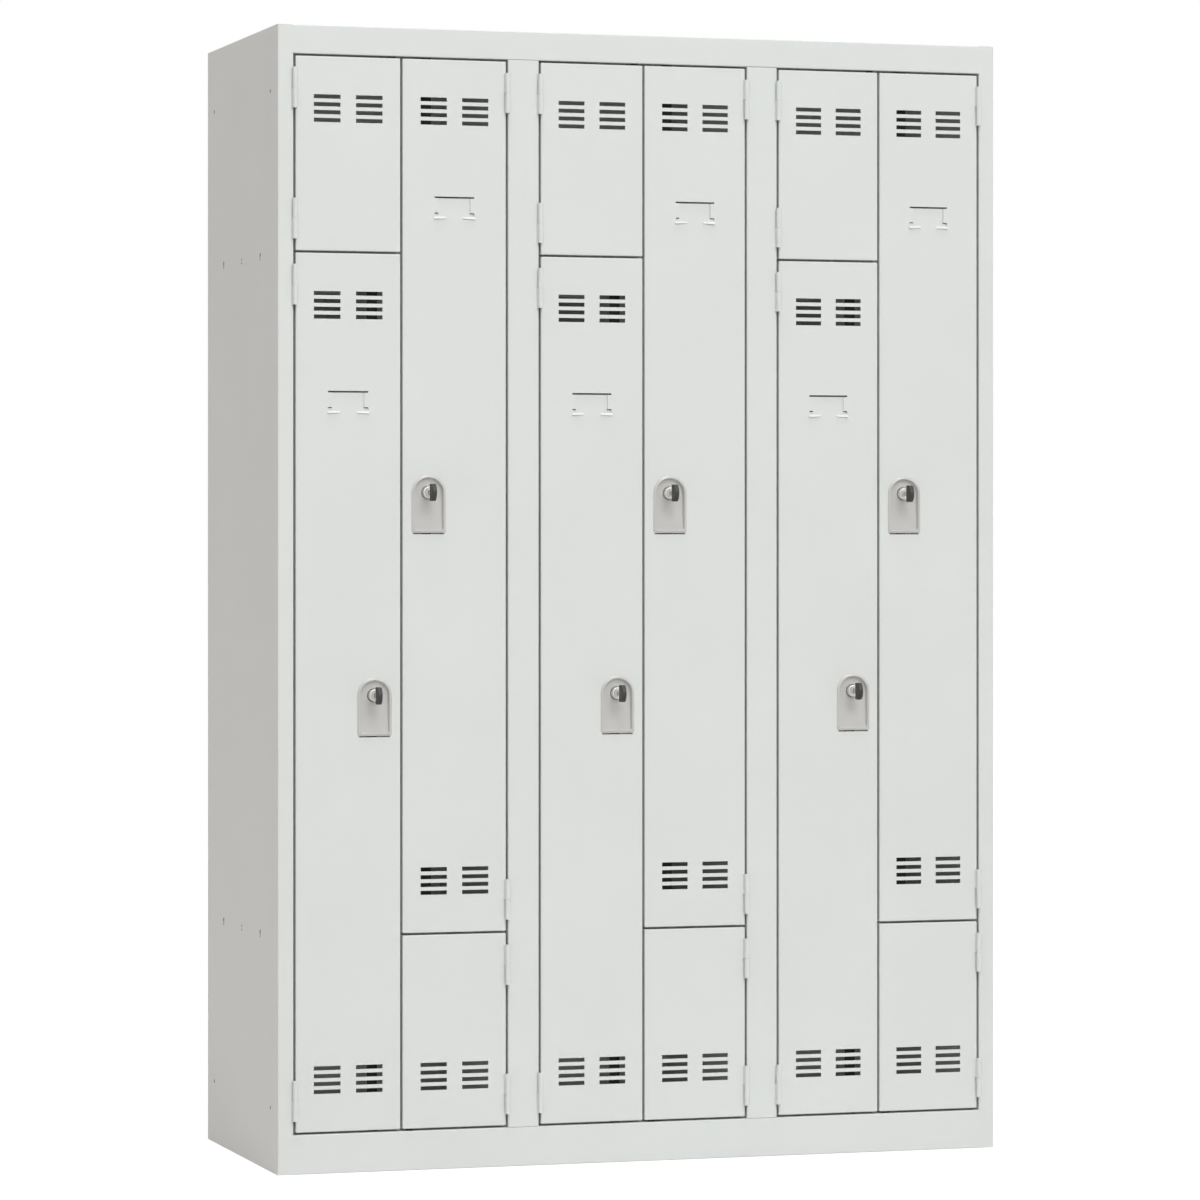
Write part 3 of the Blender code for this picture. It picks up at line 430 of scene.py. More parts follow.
for number in (1, 2):
    low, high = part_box("partition_" + str(number))
    x = (low.x + high.x) / 2
    post = fold_sheet([
        (x - STILE - STOP_LIP, FRONT + STOP_DEPTH),
        (x - STILE + SHEET / 2, FRONT + STOP_DEPTH),
        (x - STILE + SHEET / 2, FRONT + SHEET / 2),
        (x + STILE - SHEET / 2, FRONT + SHEET / 2),
        (x + STILE - SHEET / 2, FRONT + STOP_DEPTH),
        (x + STILE + STOP_LIP, FRONT + STOP_DEPTH),
    ], "z", PLINTH + FIT, OPENING_TOP - FIT)
    spread = STILE + STOP_LIP + SPARE
    combine(post, stop_notches(x - spread, x + spread))
    finish_piece(post, "post_" + str(number), "carcass", "powder_coated_steel", POWDER_COAT,
                 "partition_" + str(number))
    web = block((x - SHEET / 2, x + SHEET / 2), (FRONT + STOP_DEPTH + SHEET, INSIDE_BACK),
                (PLINTH + STOP_LIP + FIT, high.z))
    finish_piece(web, "partition_wall_" + str(number), "carcass", "powder_coated_steel",
                 POWDER_COAT)

# Z-shaped dividers. One sheet makes the shelf under the upper locker, the wall between the two
# and the shelf over the lower locker. A band welded across its front edge stops the doors.

SHELF_FLANGE = 0.015

low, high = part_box("z_divider_1")
middle = (low.x + high.x) / 2
stop_back = FRONT + STOP_DEPTH + SHEET / 2
divider = fold_sheet([
    (low.x + SHEET / 2, UPPER_SPLIT - SHELF_FLANGE),
    (low.x + SHEET / 2, UPPER_SPLIT),
    (middle, UPPER_SPLIT),
    (middle, LOWER_SPLIT),
    (high.x - SHEET / 2, LOWER_SPLIT),
    (high.x - SHEET / 2, LOWER_SPLIT - SHELF_FLANGE),
], "y", stop_back, INSIDE_BACK)
in_each_column(divider, "divider", "carcass", "powder_coated_steel", POWDER_COAT, "z_divider")

reach = PITCH / 2 - STILE - STOP_LIP - FIT
faces = (stop_back - SHEET, stop_back)
stop = block((middle - STOP_LIP, middle + STOP_LIP), faces,
             (LOWER_SPLIT - STOP_LIP, UPPER_SPLIT + STOP_LIP))
combine(stop, [
    block((middle - reach, middle), faces, (UPPER_SPLIT - STOP_LIP, UPPER_SPLIT + STOP_LIP)),
    block((middle, middle + reach), faces, (LOWER_SPLIT - STOP_LIP, LOWER_SPLIT + STOP_LIP)),
], "UNION")
in_each_column(stop, "divider_stop", "carcass", "powder_coated_steel", POWDER_COAT)

# Coat rails. Flat steel bars with both ends bent up and welded under the roof and under each
# upper shelf, so that hangers hook over them.

COAT_RAIL_WIDTH = 0.022
COAT_RAIL_THICKNESS = 0.003
COAT_RAIL_BEND = 0.0045
COAT_RAIL_FROM_WALL = 0.022
COAT_RAIL_DROP = 0.050
rail_depth = (FRONT + STOP_DEPTH + INSIDE_BACK) / 2

for name, x0, x1, top in (("upper_coat_rail", middle, high.x, HEIGHT - SHEET),
                          ("lower_coat_rail", low.x, middle, UPPER_SPLIT - SHEET / 2)):
    rail = fold_sheet([
        (x0 + COAT_RAIL_FROM_WALL, top),
        (x0 + COAT_RAIL_FROM_WALL, top - COAT_RAIL_DROP),
        (x1 - COAT_RAIL_FROM_WALL, top - COAT_RAIL_DROP),
        (x1 - COAT_RAIL_FROM_WALL, top),
    ], "y", rail_depth - COAT_RAIL_WIDTH / 2, rail_depth + COAT_RAIL_WIDTH / 2,
        COAT_RAIL_THICKNESS, COAT_RAIL_BEND)
    in_each_column(rail, name, "carcass", "powder_coated_steel", POWDER_COAT)

# Doors. Each is a shallow tray folded from one sheet, with its edges returned at the back. Ladders
# of vent slots are punched at its ends, and a staple welded inside guides the bar or bolt.

DOOR_GAP = 0.0035
PAN = 0.020
PAN_RETURN = 0.010
VENT_FROM_END = 0.063
VENT_PITCH = 0.0123
VENT_COUNT = 4
VENT_LENGTH = 0.043
VENT_WIDTH = 0.0065
VENT_SPACING = 0.068
GUIDE_LENGTH = 0.018
GUIDE_PLAY = 0.0006
BAR_GUIDE_SHARE = 0.22
BOLT_GUIDE_FROM_END = 0.026
CARD_FROM_TOP = 0.216
CARD_WIDTH = 0.065
CARD_HEIGHT = 0.034
CARD_SLIT = 0.0026
CARD_STRIP = 0.0065
CARD_STRIP_LENGTH = 0.0255
CARD_RECESS = 0.0026
CARD_CUT = 0.0016
CARD_LEDGE = 0.0036
CARD_LEDGE_PROUD = 0.0036
CARD_LEDGE_LENGTH = 0.020
CUP_WIDTH = 0.056
CUP_HEIGHT = 0.092
CUP_SIDES = 64
CUP_HOLE_INSET = 0.0027
CUP_GAP_BELOW = 0.0018


def door_pan(x0, x1, z0, z1):
    """A tray: a block opened at the back inside its returns, with its folds rounded."""
    half = SHEET / 2
    pan = block((x0 + half, x1 - half), (FRONT + half, FRONT + PAN - half), (z0 + half, z1 - half))
    edit(pan)
    pick("FACE", lambda corners: all(c.y > FRONT + PAN / 2 for c in corners))
    bpy.ops.mesh.inset(thickness=PAN_RETURN - half)
    bpy.ops.mesh.delete(type="FACE")

    def at_side(point):
        return min(point.x - x0, x1 - point.x, point.z - z0, z1 - point.z) < PAN_RETURN / 2

    pick("EDGE", lambda ends: all(at_side(end) for end in ends))
    bpy.ops.mesh.bevel(offset=FOLD_RADIUS, segments=FOLD_STEPS, affect="EDGES")
    return modify(pan, "SOLIDIFY", thickness=SHEET, offset=0, use_even_offset=True)


def vents(x, end, way):
    """Punches for two ladders of slots, counted from a door's end."""
    punches = []
    for step in range(VENT_COUNT):
        z = end + way * (VENT_FROM_END + step * VENT_PITCH)
        for middle in (x - VENT_SPACING / 2, x + VENT_SPACING / 2):
            punches.append(block((middle - VENT_LENGTH / 2, middle + VENT_LENGTH / 2),
                                 (FRONT - SPARE, FRONT + SHEET + SPARE),
                                 (z - VENT_WIDTH / 2, z + VENT_WIDTH / 2)))
    return punches


def press_card_holder(pan, middle, top):
    """A card slit over a recess between two strips, with a ledge pressed out at each corner."""
    low = top - CARD_HEIGHT
    half = CARD_WIDTH / 2
    floor = FRONT + CARD_RECESS
    strip_end = top - CARD_STRIP_LENGTH
    combine(pan, [block((middle - half - SHEET, middle + half + SHEET),
                        (FRONT + SHEET / 2, floor + SHEET), (low, top + SHEET))], "UNION")
    cuts = [block((middle - half + CARD_STRIP, middle + half - CARD_STRIP),
                  (FRONT - SPARE, floor), (low + CARD_LEDGE, top - CARD_SLIT / 2)),
            block((middle - half, middle + half), (FRONT - SPARE, floor + SPARE),
                  (top - CARD_SLIT, top))]
    for side in (-1, 1):
        outer = middle + side * half
        cuts.append(block((outer, outer - side * CARD_STRIP), (FRONT - SPARE, floor + SPARE),
                          (strip_end - CARD_CUT, strip_end)))
        cuts.append(block((outer, outer - side * (CARD_STRIP + SPARE)), (FRONT - SPARE, floor),
                          (low + CARD_LEDGE, strip_end - CARD_CUT / 2)))
    combine(pan, cuts)
    for side in (-1, 1):
        outer = middle + side * (half + SHEET)
        inner = outer - side * CARD_LEDGE_LENGTH
        ledge = block((outer, inner), (FRONT - CARD_LEDGE_PROUD, FRONT + SHEET / 2),
                      (low - CARD_LEDGE / 3, low + CARD_LEDGE * 2 / 3))
        edit(ledge)
        pick("VERT", lambda points: points[0].y < FRONT and points[0].z > low)
        bpy.ops.transform.translate(value=(0, CARD_LEDGE_PROUD, 0))
        pick("VERT", lambda points: points[0].y < FRONT - TINY
             and abs(points[0].x - inner) < TINY)
        bpy.ops.transform.translate(value=(0, CARD_LEDGE_PROUD / 2, CARD_LEDGE / 4))
        deselect()
        combine(pan, [ledge], "UNION")


def guide(x, z, half_width, back):
    """A staple inside the door, in which a bar or bolt slides."""
    reach = half_width + GUIDE_PLAY + SHEET / 2
    depth = back + GUIDE_PLAY / 2 + SHEET / 2
    return fold_sheet([(x - reach, FRONT + SHEET), (x - reach, depth), (x + reach, depth),
                       (x + reach, FRONT + SHEET)], "z", z - GUIDE_LENGTH / 2,
                      z + GUIDE_LENGTH / 2, radius=SHEET)


DOORS = {}
for hinge in frame["joints"]:
    if not hinge["name"].endswith("_door_1_hinge"):
        continue
    kind = hinge["child"][:-2]
    upper = kind.startswith("upper")
    tall = "tall" in kind
    hand = -hinge["axis"][2]
    low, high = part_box(hinge["child"])
    near = hinge["pos_m"][0] + hand * DOOR_GAP / 2
    x0, x1 = sorted((near, high.x if hand > 0 else low.x))
    end = high.z if upper else low.z
    way = 1 if upper else -1
    if tall:
        lock = LOCKS[("upper" if upper else "lower") + "_key_1"]
        latch = lock.x
        half, front = BAR_WIDTH / 2, BAR_FRONT
        share = BAR_GUIDE_SHARE if upper else 1 - BAR_GUIDE_SHARE
        guide_z = low.z + share * (high.z - low.z)
    else:
        bolt_low, bolt_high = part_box(("upper" if upper else "lower") + "_bolt_1")
        latch = (bolt_low.x + bolt_high.x) / 2
        half, front = BOLT_WIDTH / 2, BOLT_FRONT
        guide_z = end - way * BOLT_GUIDE_FROM_END
    back = front + BAR_THICKNESS
    DOORS[kind] = (hinge["pos_m"], hand, low.z, high.z)
    pan = door_pan(x0, x1, low.z, high.z)
    play = half + GUIDE_PLAY
    punches = [block((latch - play, latch + play), (front - GUIDE_PLAY, back + GUIDE_PLAY),
                     (end - SHEET - SPARE, end + SHEET + SPARE))]
    if tall or upper:
        punches += vents((x0 + x1) / 2, high.z, -1)
    if tall or not upper:
        punches += vents((x0 + x1) / 2, low.z, 1)
    if tall:
        wide = CUP_WIDTH / 2 - CUP_HOLE_INSET
        bottom = lock.z + CUP_WIDTH / 2 - CUP_HEIGHT - CUP_GAP_BELOW
        ways = (FRONT - SPARE, FRONT + SHEET + SPARE)
        punches += [rod("y", latch, lock.z, wide, *ways, sides=CUP_SIDES),
                    block((latch - wide, latch + wide), ways, (bottom, lock.z))]
        press_card_holder(pan, (x0 + x1) / 2, high.z - CARD_FROM_TOP)
    combine(pan, punches)
    in_each_column(pan, kind + "_leaf", kind, "powder_coated_steel", POWDER_COAT, kind)
    in_each_column(guide(latch, guide_z, half, back), kind + "_guide", kind,
                   "powder_coated_steel", POWDER_COAT)

# Hinges. Weld-on barrels stand in front of the gaps, two to a door: a lower knuckle with its pin
# on the stile or post, and an upper one with a foot on the door, turned from steel bar.

BARREL_LENGTH = 0.0635
BARREL_RADIUS = 0.00425
BARREL_FROM_END = 0.020
BARREL_SIDES = 40
BARREL_EDGE = 0.0003
BARREL_EDGE_ANGLE = 50
FOOT_NEAR = 0.0030
FOOT_FAR = 0.0058
FOOT_SUNK = 0.0004
PIN_RADIUS = 0.0024
PIN_PLAY = 0.0004
PIN_COVER = 0.003
PIN_SIDES = 24

# Bright drawn steel: a clean metal with fine lines and a little soft wear in its gloss.
BRIGHT_STEEL = coat("bright_drawn_steel", "B4B2AE", "C6C4C0", patch=0.02, grain=0.0006,
                    rough=(0.22, 0.34), relief=0.05, Metallic=1)


def knuckle(place, side, z0, z1):
    """A barrel with a foot that reaches to one side and back to the sheet."""
    barrel = rod("z", place[0], place[1], BARREL_RADIUS, z0, z1, sides=BARREL_SIDES)
    foot = block((place[0] + side * FOOT_NEAR, place[0] + side * FOOT_FAR),
                 (FRONT - BARREL_RADIUS, FRONT + FOOT_SUNK), (z0, z1))
    edit(foot)
    pick("VERT", lambda points: points[0].y < FRONT - TINY
         and abs(points[0].x - place[0]) > (FOOT_NEAR + FOOT_FAR) / 2)
    bpy.ops.transform.translate(value=(-side * (FOOT_FAR - FOOT_NEAR), 0, 0))
    bpy.ops.mesh.select_all(action="SELECT")
    bpy.ops.mesh.remove_doubles(threshold=TINY)
    bpy.ops.mesh.normals_make_consistent()
    deselect()
    combine(barrel, [foot], "UNION")
    return ease(barrel, BARREL_EDGE, angle=BARREL_EDGE_ANGLE)


for kind, (place, hand, z0, z1) in DOORS.items():
    fixed = []
    moving = []
    pins = []
    for start in (z0 + BARREL_FROM_END - DOOR_GAP / 2,
                  z1 - BARREL_FROM_END - BARREL_LENGTH + DOOR_GAP / 2):
        split = start + BARREL_LENGTH / 2
        end = start + BARREL_LENGTH
        fixed.append(knuckle(place, -hand, start, split - FIT / 2))
        bored = knuckle(place, hand, split + FIT / 2, end)
        combine(bored, [rod("z", place[0], place[1], PIN_RADIUS + PIN_PLAY, split - SPARE,
                            end - PIN_COVER, sides=PIN_SIDES)])
        moving.append(bored)
        pins.append(ease(rod("z", place[0], place[1], PIN_RADIUS, split - PIN_COVER,
                             end - PIN_COVER - 2 * FIT, sides=PIN_SIDES), BARREL_EDGE))
    in_each_column(join(fixed), kind + "_fixed_knuckles", "carcass", "powder_coated_steel",
                   POWDER_COAT)
    in_each_column(join(moving), kind + "_knuckles", kind, "powder_coated_steel", POWDER_COAT)
    in_each_column(join(pins), kind + "_hinge_pins", "carcass", "zinc", BRIGHT_STEEL)

# Lock cups. Arched dishes with a raised, rounded rim, pressed from steel and painted, let into the
# tall doors so that a hand can reach the key. The floor rises again to the door's face below the
# lock.

CUP_FLOOR = 0.0045
CUP_SHEET = 0.001
CUP_CORNER = 0.003
CUP_CORNER_STEPS = 4
CUP_RAMP_START = 0.016
CUP_RAMP_BLEND = 0.010
CUP_RAMP_SHARE = 0.5
LOCK_HOLE = 0.0108
# Steps inward and out from the door: over the rounded rim, down the wall and round on to the floor
RIM_STEPS = ((0.0012, 0.0013), (0.0011, 0.0008), (0.0010, 0.0004), (0.0007, 0.0),
             (0.0004, -0.0008), (0.0004, -0.0017))
WALL_STEPS = ((0.0004, -0.0037), (0.0002, -0.0005), (0.0005, -0.0003))

# Stove enamel in a warm grey, smooth, with hardly any peel. It is darker than the doors partly as
# its own tone and partly as painted shade for the hollow of the cup.
CUP_COAT = coat("cup_enamel_warm_grey", "C0BEBB", "C8C6C3", patch=0.05, grain=0.0025,
                rough=(0.30, 0.38), relief=0.05)


def lock_cup(x, z):
    """An arch drawn as half a disc and a square below it, then stepped over the rim and down."""
    half = CUP_WIDTH / 2
    bottom = z + half - CUP_HEIGHT
    deselect()
    bpy.ops.mesh.primitive_circle_add(vertices=CUP_SIDES, radius=half, fill_type="NGON",
                                      location=(x, FRONT - FIT / 2, z),
                                      rotation=(math.pi / 2, 0, 0))
    cup = bpy.context.object
    bpy.ops.object.transform_apply()
    edit(cup)
    bpy.ops.mesh.bisect(plane_co=(x, FRONT, z), plane_no=(0, 0, 1), clear_inner=True)
    pick("EDGE", lambda ends: all(abs(end.z - z) < TINY for end in ends))
    bpy.ops.mesh.extrude_region_move(TRANSFORM_OT_translate={"value": (0, 0, -CUP_RAMP_START)})
    bpy.ops.mesh.extrude_region_move(
        TRANSFORM_OT_translate={"value": (0, 0, bottom + CUP_RAMP_START - z)})
    bpy.ops.mesh.select_mode(type="FACE")
    bpy.ops.mesh.select_all(action="SELECT")
    bpy.ops.mesh.normals_make_consistent()
    if bmesh.from_edit_mesh(cup.data).faces[:][0].normal.y > 0:
        bpy.ops.mesh.flip_normals()
    for inward, outward in RIM_STEPS + WALL_STEPS:
        bpy.ops.mesh.inset(thickness=inward, depth=outward)
    pick("VERT", lambda points: points[0].y > FRONT + CUP_FLOOR / 2
         and points[0].z < z - CUP_RAMP_START - TINY)
    bpy.ops.transform.resize(value=(1, CUP_RAMP_SHARE, 1), center_override=(x, FRONT, z))
    pick("EDGE", lambda ends: all(abs(end.z - z + CUP_RAMP_START) < TINY
                                  and end.y > FRONT + CUP_FLOOR / 2 for end in ends))
    bpy.ops.mesh.bevel(offset=CUP_RAMP_BLEND, segments=CUP_CORNER_STEPS, affect="EDGES")
    corners = [(x - half, bottom), (x + half, bottom)]
    pick("EDGE", lambda ends: any(all(abs(abs(end.x - u) - abs(end.z - v)) < 2 * TINY
                                      and abs(end.x - u) < half / 2 for end in ends)
                                  for u, v in corners))
    bpy.ops.mesh.bevel(offset=CUP_CORNER, segments=CUP_CORNER_STEPS, affect="EDGES")
    modify(cup, "SOLIDIFY", thickness=CUP_SHEET, offset=-1, use_even_offset=True)
    return combine(cup, [rod("y", x, z, LOCK_HOLE, FRONT, FRONT + CUP_FLOOR + 2 * SPARE)])


for place in ("upper", "lower"):
    lock = LOCKS[place + "_key_1"]
    in_each_column(lock_cup(lock.x, lock.z), place + "_cup", place + "_tall_door",
                   "powder_coated_steel", CUP_COAT, place + "_lock_cup")

# Lock barrels, plugs and cranks. Die-cast zinc: a nose that stands out of the cup, a plug with
# the keyway, and behind it a disc whose pin drives the locking bar.

NOSE_RADIUS = 0.010
NOSE_TAPER = 0.0008
NOSE = 0.0095
NOSE_SIDES = 64
NOSE_EDGE = 0.0006
NOSE_EDGE_STEPS = 4
NOSE_FRONT = FRONT + CUP_FLOOR - NOSE
LOCK_BODY_RADIUS = 0.008
LOCK_BACK = FRONT + 0.0131
PLUG_RADIUS = 0.006
PLUG_SIDES = 48
PLUG_FACE = NOSE_FRONT + 0.0022
PLUG_SEAT = 0.0012
PLUG_EDGE = 0.0003
BLADE_THICKNESS = 0.002
BLADE_HEIGHT = 0.0075
BLADE_END = FRONT + 0.0080
CRANK_FRONT = FRONT + 0.0134
CRANK_BACK = FRONT + 0.0144
CRANK_RADIUS = 0.012
CRANK_THROW = 0.0085
CRANK_START = math.radians(45)
CRANK_PIN = 0.0025

# Nickel-plated die-cast zinc, satin from tumbling, with a slight warmth and mottled gloss.
SATIN_ZINC = coat("satin_die_cast_zinc", "E0DEDA", "EAE8E3", patch=0.006, grain=0.0005,
                  rough=(0.44, 0.58), relief=0.08, Metallic=1)


def crank_pin(place):
    """Where the pin of the first column's upper or lower crank stands while its bar is out."""
    lock = LOCKS[place + "_key_1"]
    hand = DOORS[place + "_tall_door"][1]
    way = 1 if place == "upper" else -1
    return (lock.x - hand * CRANK_THROW * math.cos(CRANK_START),
            lock.z - way * CRANK_THROW * math.sin(CRANK_START))


for place in ("upper", "lower"):
    x, z = LOCKS[place + "_key_1"].x, LOCKS[place + "_key_1"].z
    floor = FRONT + CUP_FLOOR
    nose = rod("y", x, z, NOSE_RADIUS, NOSE_FRONT, floor + SPARE, sides=NOSE_SIDES)
    edit(nose)
    pick("VERT", lambda points: points[0].y < (NOSE_FRONT + floor) / 2)
    taper = 1 - NOSE_TAPER / NOSE_RADIUS
    bpy.ops.transform.resize(value=(taper, 1, taper), center_override=(x, floor, z))
    ease(nose, NOSE_EDGE, NOSE_EDGE_STEPS)
    combine(nose, [rod("y", x, z, LOCK_BODY_RADIUS, (NOSE_FRONT + floor) / 2, LOCK_BACK)],
            "UNION")
    combine(nose, [rod("y", x, z, PLUG_RADIUS + FIT, NOSE_FRONT - SPARE, LOCK_BACK + SPARE),
                   rod("y", x, z, PLUG_RADIUS + PLUG_SEAT, NOSE_FRONT - SPARE, PLUG_FACE)])
    in_each_column(nose, place + "_lock_body", place + "_tall_door", "zinc", SATIN_ZINC,
                   place + "_lock_barrel")

    plug = ease(rod("y", x, z, PLUG_RADIUS, PLUG_FACE, CRANK_FRONT + TINY, sides=PLUG_SIDES),
                PLUG_EDGE)
    combine(plug, [block((x - BLADE_THICKNESS / 2 - FIT, x + BLADE_THICKNESS / 2 + FIT),
                         (PLUG_FACE - SPARE, BLADE_END + FIT),
                         (z - BLADE_HEIGHT / 2 - FIT, z + BLADE_HEIGHT / 2 + FIT))])
    combine(plug, [rod("y", x, z, CRANK_RADIUS, CRANK_FRONT, CRANK_BACK),
                   rod("y", *crank_pin(place), CRANK_PIN, CRANK_BACK - SHEET / 2,
                       BAR_FRONT + BAR_THICKNESS)], "UNION")
    in_each_column(plug, place + "_plug", place + "_key", "zinc", SATIN_ZINC,
                   place + "_lock_plug")

# Keys. A moulded nylon head with an arched outer end, on a flat plated blade that fits the plug's
# keyway with play.

KEY_PROUD = 0.039
KEY_LENGTH = 0.020
KEY_HEIGHT = 0.027
KEY_THICKNESS = 0.0072
KEY_ARCH = 0.0154
KEY_ARCH_SIDES = 96
KEY_EDGE = 0.0012
KEY_EDGE_STEPS = 3

key_tip = FRONT - KEY_PROUD
head_back = key_tip + KEY_LENGTH
for place in ("upper", "lower"):
    x, z = LOCKS[place + "_key_1"].x, LOCKS[place + "_key_1"].z
    head = block((x - KEY_THICKNESS / 2, x + KEY_THICKNESS / 2), (key_tip, head_back),
                 (z - KEY_HEIGHT / 2, z + KEY_HEIGHT / 2))
    combine(head, [join([
        rod("x", key_tip + KEY_ARCH, z, KEY_ARCH, x - KEY_THICKNESS, x + KEY_THICKNESS,
            sides=KEY_ARCH_SIDES),
        block((x - KEY_THICKNESS, x + KEY_THICKNESS), (key_tip + KEY_ARCH, head_back + SPARE),
              (z - KEY_HEIGHT, z + KEY_HEIGHT)),
    ])], "INTERSECT")
    ease(head, KEY_EDGE, KEY_EDGE_STEPS)
    in_each_column(head, place + "_key_head", place + "_key", "black_nylon", BLACK_NYLON,
                   place + "_key")
    blade = block((x - BLADE_THICKNESS / 2, x + BLADE_THICKNESS / 2),
                  (head_back - SPARE, BLADE_END), (z - BLADE_HEIGHT / 2, z + BLADE_HEIGHT / 2))
    in_each_column(blade, place + "_key_blade", place + "_key", "zinc", BRIGHT_STEEL)

# Locking bars. Black-coated flat bar the length of the tall door, with a slotted lug round the
# crank's pin. It slides in the door's staple, and its tip enters a slot in the rail.

YOKE_SLOT_PLAY = 0.0008
YOKE_MARGIN = 0.006
BAR_EDGE = 0.0004
CUT_BAR_ANGLE = 60

for place in ("upper", "lower"):
    x = LOCKS[place + "_key_1"].x
    hand = DOORS[place + "_tall_door"][1]
    pin_x, pin_z = crank_pin(place)
    low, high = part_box(place + "_locking_bar_1")
    depths = (BAR_FRONT, BAR_FRONT + BAR_THICKNESS)
    bar = block((x - BAR_WIDTH / 2, x + BAR_WIDTH / 2), depths, (low.z, high.z))
    slot_half = CRANK_PIN + YOKE_SLOT_PLAY
    lug_half = slot_half + YOKE_MARGIN
    far = x - hand * (CRANK_THROW + slot_half + YOKE_MARGIN)
    combine(bar, [block((x, far), depths, (pin_z - lug_half, pin_z + lug_half))], "UNION")
    combine(bar, [block((pin_x + hand * slot_half, far + hand * YOKE_MARGIN),
                        (depths[0] - SPARE, depths[1] + SPARE),
                        (pin_z - slot_half, pin_z + slot_half))])
    ease(bar, BAR_EDGE, angle=CUT_BAR_ANGLE)
    in_each_column(bar, place + "_bar", place + "_locking_bar", "black_steel", BLACK_STEEL,
                   place + "_locking_bar")

# Bolts. Short flat bars inside the small doors, which slide up or down into a rail, with the
# other end bent out as a tab for the finger of whoever has opened the tall door beside it.

BOLT_LENGTH = 0.085
BOLT_TAB = 0.012
BOLT_BEND = 0.0035
BOLT_EDGE = 0.0005

for place, way in (("upper", 1), ("lower", -1)):
    low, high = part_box(place + "_bolt_1")
    depth = BOLT_FRONT + BAR_THICKNESS / 2
    tip = high.z if way > 0 else low.z
    other = tip - way * BOLT_LENGTH
    bolt = fold_sheet([(depth, tip), (depth, other), (depth + BOLT_TAB, other)], "x",
                      low.x, high.x, BAR_THICKNESS, BOLT_BEND)
    ease(bolt, BOLT_EDGE, angle=CUT_BAR_ANGLE)
    in_each_column(bolt, place + "_sliding_bolt", place + "_bolt", "black_steel", BLACK_STEEL,
                   place + "_bolt")

# Buffers. Small rubber discs stuck on the stops, which keep the closed doors from ringing.

BUFFER_RADIUS = 0.004
BUFFER_INSET = 0.060
BUFFER_EDGE = 0.0002
BUFFER_SIDES = 24

# Moulded black rubber: matt, so that only its edge shows against the coat.
RUBBER = coat("black_rubber", "1C1C1C", "262626", patch=0.006, grain=0.0008,
              rough=(0.6, 0.75), relief=0.15)

for kind, (place, hand, z0, z1) in DOORS.items():
    x = middle - hand * STOP_LIP / 2
    discs = [ease(rod("y", x, z, BUFFER_RADIUS, FRONT + PAN + FIT,
                      FRONT + STOP_DEPTH - SHEET / 2 + TINY, sides=BUFFER_SIDES), BUFFER_EDGE)
             for z in (z0 + BUFFER_INSET, z1 - BUFFER_INSET)
             if LOWER_SPLIT - STOP_LIP < z < UPPER_SPLIT + STOP_LIP]
    if discs:
        in_each_column(join(discs), kind + "_buffers", "carcass", "black_nylon", RUBBER)

# Room. A pale floor that runs out of sight, a soft studio lamp above the camera, another high over
# the locker, and an even, pale surround, as for a catalogue picture.

CAMERA_PLACE = (-2.4048, -7.8050, 0.9951)
CAMERA_TURN = math.radians(-17.544)
CAMERA_LENS = 149.1
CAMERA_SENSOR = 36
CAMERA_SHIFT = (-0.03135, -0.0510)
CAMERA_SEES_TO = 200
INSIDE_POWER = 1.5
INSIDE_WIDTH_SHARE = 0.5
INSIDE_HEIGHT_SHARE = 0.8
FLOOR_SIZE = 80
FLOOR_ROUGHNESS = 0.9
FLOOR_GLOW = 1.2
FLOOR_GLOW_SHARE = 0.8
SURROUND_COLOUR = (1, 0.88, 0.845, 1)
SURROUND_STRENGTH = 0.40

deselect()
bpy.ops.object.camera_add(location=CAMERA_PLACE, rotation=(math.pi / 2, 0, CAMERA_TURN))
camera = bpy.context.object
camera.data.lens = CAMERA_LENS
camera.data.sensor_width = CAMERA_SENSOR
camera.data.shift_x, camera.data.shift_y = CAMERA_SHIFT
camera.data.clip_end = CAMERA_SEES_TO
bpy.context.scene.camera = camera


def lamp(name, place, target, size, power, colour):
    """A square soft box that faces a target."""
    deselect()
    bpy.ops.object.light_add(type="AREA", location=place)
    light = bpy.context.object
    light.name = name
    light.rotation_euler = (Vector(target) - Vector(place)).to_track_quat("-Z", "Y").to_euler()
    light.data.size = size
    light.data.energy = power
    light.data.color = colour


def background_rays(tree):
    """1 for rays that show the background: seen directly, in a reflection or through glass."""
    rays = add_node(tree, "LightPath")
    mirrored = add_node(tree, "Math", {}, {0: (rays, "Is Glossy Ray"),
                                           1: (rays, "Is Transmission Ray")},
                        operation="MAXIMUM")
    return add_node(tree, "Math", {}, {0: (rays, "Is Camera Ray"), 1: (mirrored, "Value")},
                    operation="MAXIMUM")


lamp("key_light", place=(2.05, -19.5, 15.15), target=(0, 0, 0.9), size=13.0, power=3120,
     colour=(0.893, 0.979, 1))
lamp("top_light", place=(-1.0, -1.6, 14.0), target=(0, -0.2, 0.9), size=5.0, power=800,
     colour=(1, 1, 1))

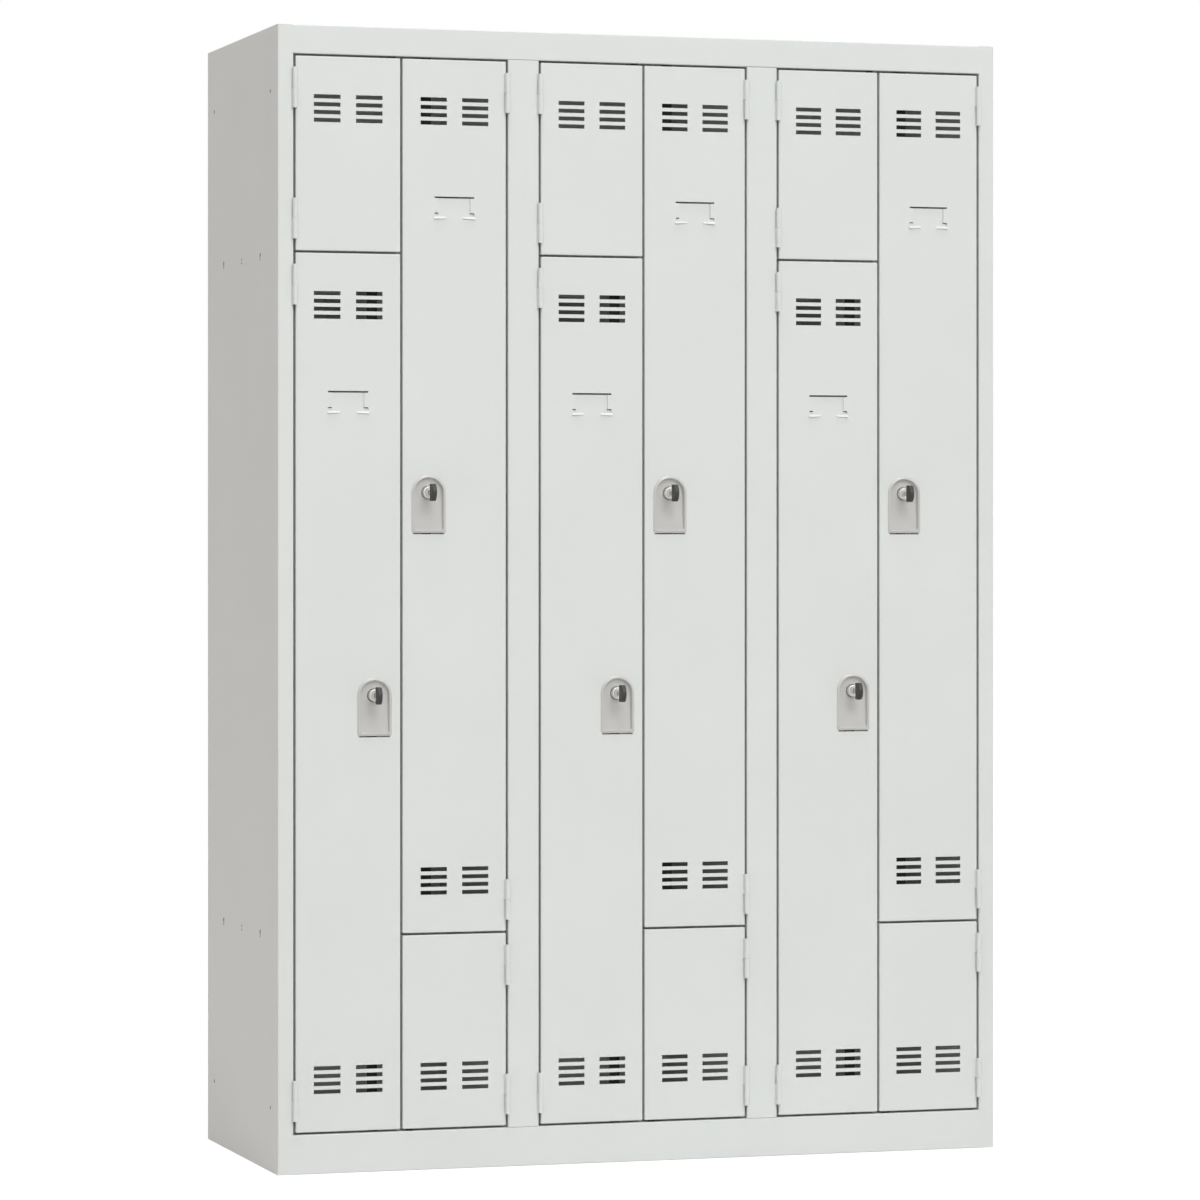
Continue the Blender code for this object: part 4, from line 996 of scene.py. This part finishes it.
# Behind the doors of every space a faint, broad lamp, which the camera can't see, stands for the
# daylight that finds its way in. Its power is per square metre.
for column in range(COLUMNS):
    for x0, x1, z0, z1 in ((0, 1, UPPER_SPLIT, OPENING_TOP), (0.5, 1, LOWER_SPLIT, UPPER_SPLIT),
                           (0, 0.5, LOWER_SPLIT, UPPER_SPLIT), (0, 1, PLINTH, LOWER_SPLIT)):
        deselect()
        bpy.ops.object.light_add(type="AREA", rotation=(math.pi / 2, 0, 0), location=(
            (column + (x0 + x1) / 2) * PITCH - HALF_WIDTH, FRONT + 2 * STOP_DEPTH, (z0 + z1) / 2))
        panel = bpy.context.object
        panel.data.shape = "RECTANGLE"
        panel.data.size = (x1 - x0) * PITCH * INSIDE_WIDTH_SHARE
        panel.data.size_y = (z1 - z0) * INSIDE_HEIGHT_SHARE
        panel.data.energy = INSIDE_POWER * panel.data.size * panel.data.size_y
        panel.visible_camera = False

deselect()
bpy.ops.mesh.primitive_plane_add(size=FLOOR_SIZE)
ground = bpy.context.object
ground.name = "studio_floor"
# Matt white paper: it keeps a soft shadow, and glows where the background is seen.
paper = bpy.data.materials.new("floor_white")
paper.use_nodes = True
tree = paper.node_tree
shader = tree.nodes["Principled BSDF"]
shader.inputs["Base Color"].default_value = linear("D6D6D6")
shader.inputs["Roughness"].default_value = FLOOR_ROUGHNESS
whiteness = add_node(tree, "Emission", {"Color": (1, 1, 1, 1), "Strength": FLOOR_GLOW})
lift = add_node(tree, "Math", {1: FLOOR_GLOW_SHARE}, {0: (background_rays(tree), "Value")},
                operation="MULTIPLY")
blend = add_node(tree, "MixShader", {}, {"Fac": (lift, "Value"), 1: (shader, "BSDF"),
                                         2: (whiteness, "Emission")})
tree.links.new(blend.outputs["Shader"], tree.nodes["Material Output"].inputs["Surface"])
ground.data.materials.append(paper)

world = bpy.data.worlds.new("studio")
bpy.context.scene.world = world
world.use_nodes = True
tree = world.node_tree
dim = add_node(tree, "Background", {"Color": SURROUND_COLOUR, "Strength": SURROUND_STRENGTH})
bright = add_node(tree, "Background", {"Color": (1, 1, 1, 1), "Strength": 1})
sky = add_node(tree, "MixShader", {}, {"Fac": (background_rays(tree), "Value"),
                                       1: (dim, "Background"), 2: (bright, "Background")})
tree.links.new(sky.outputs["Shader"], tree.nodes["World Output"].inputs["Surface"])

bpy.context.scene.view_settings.view_transform = "Standard"
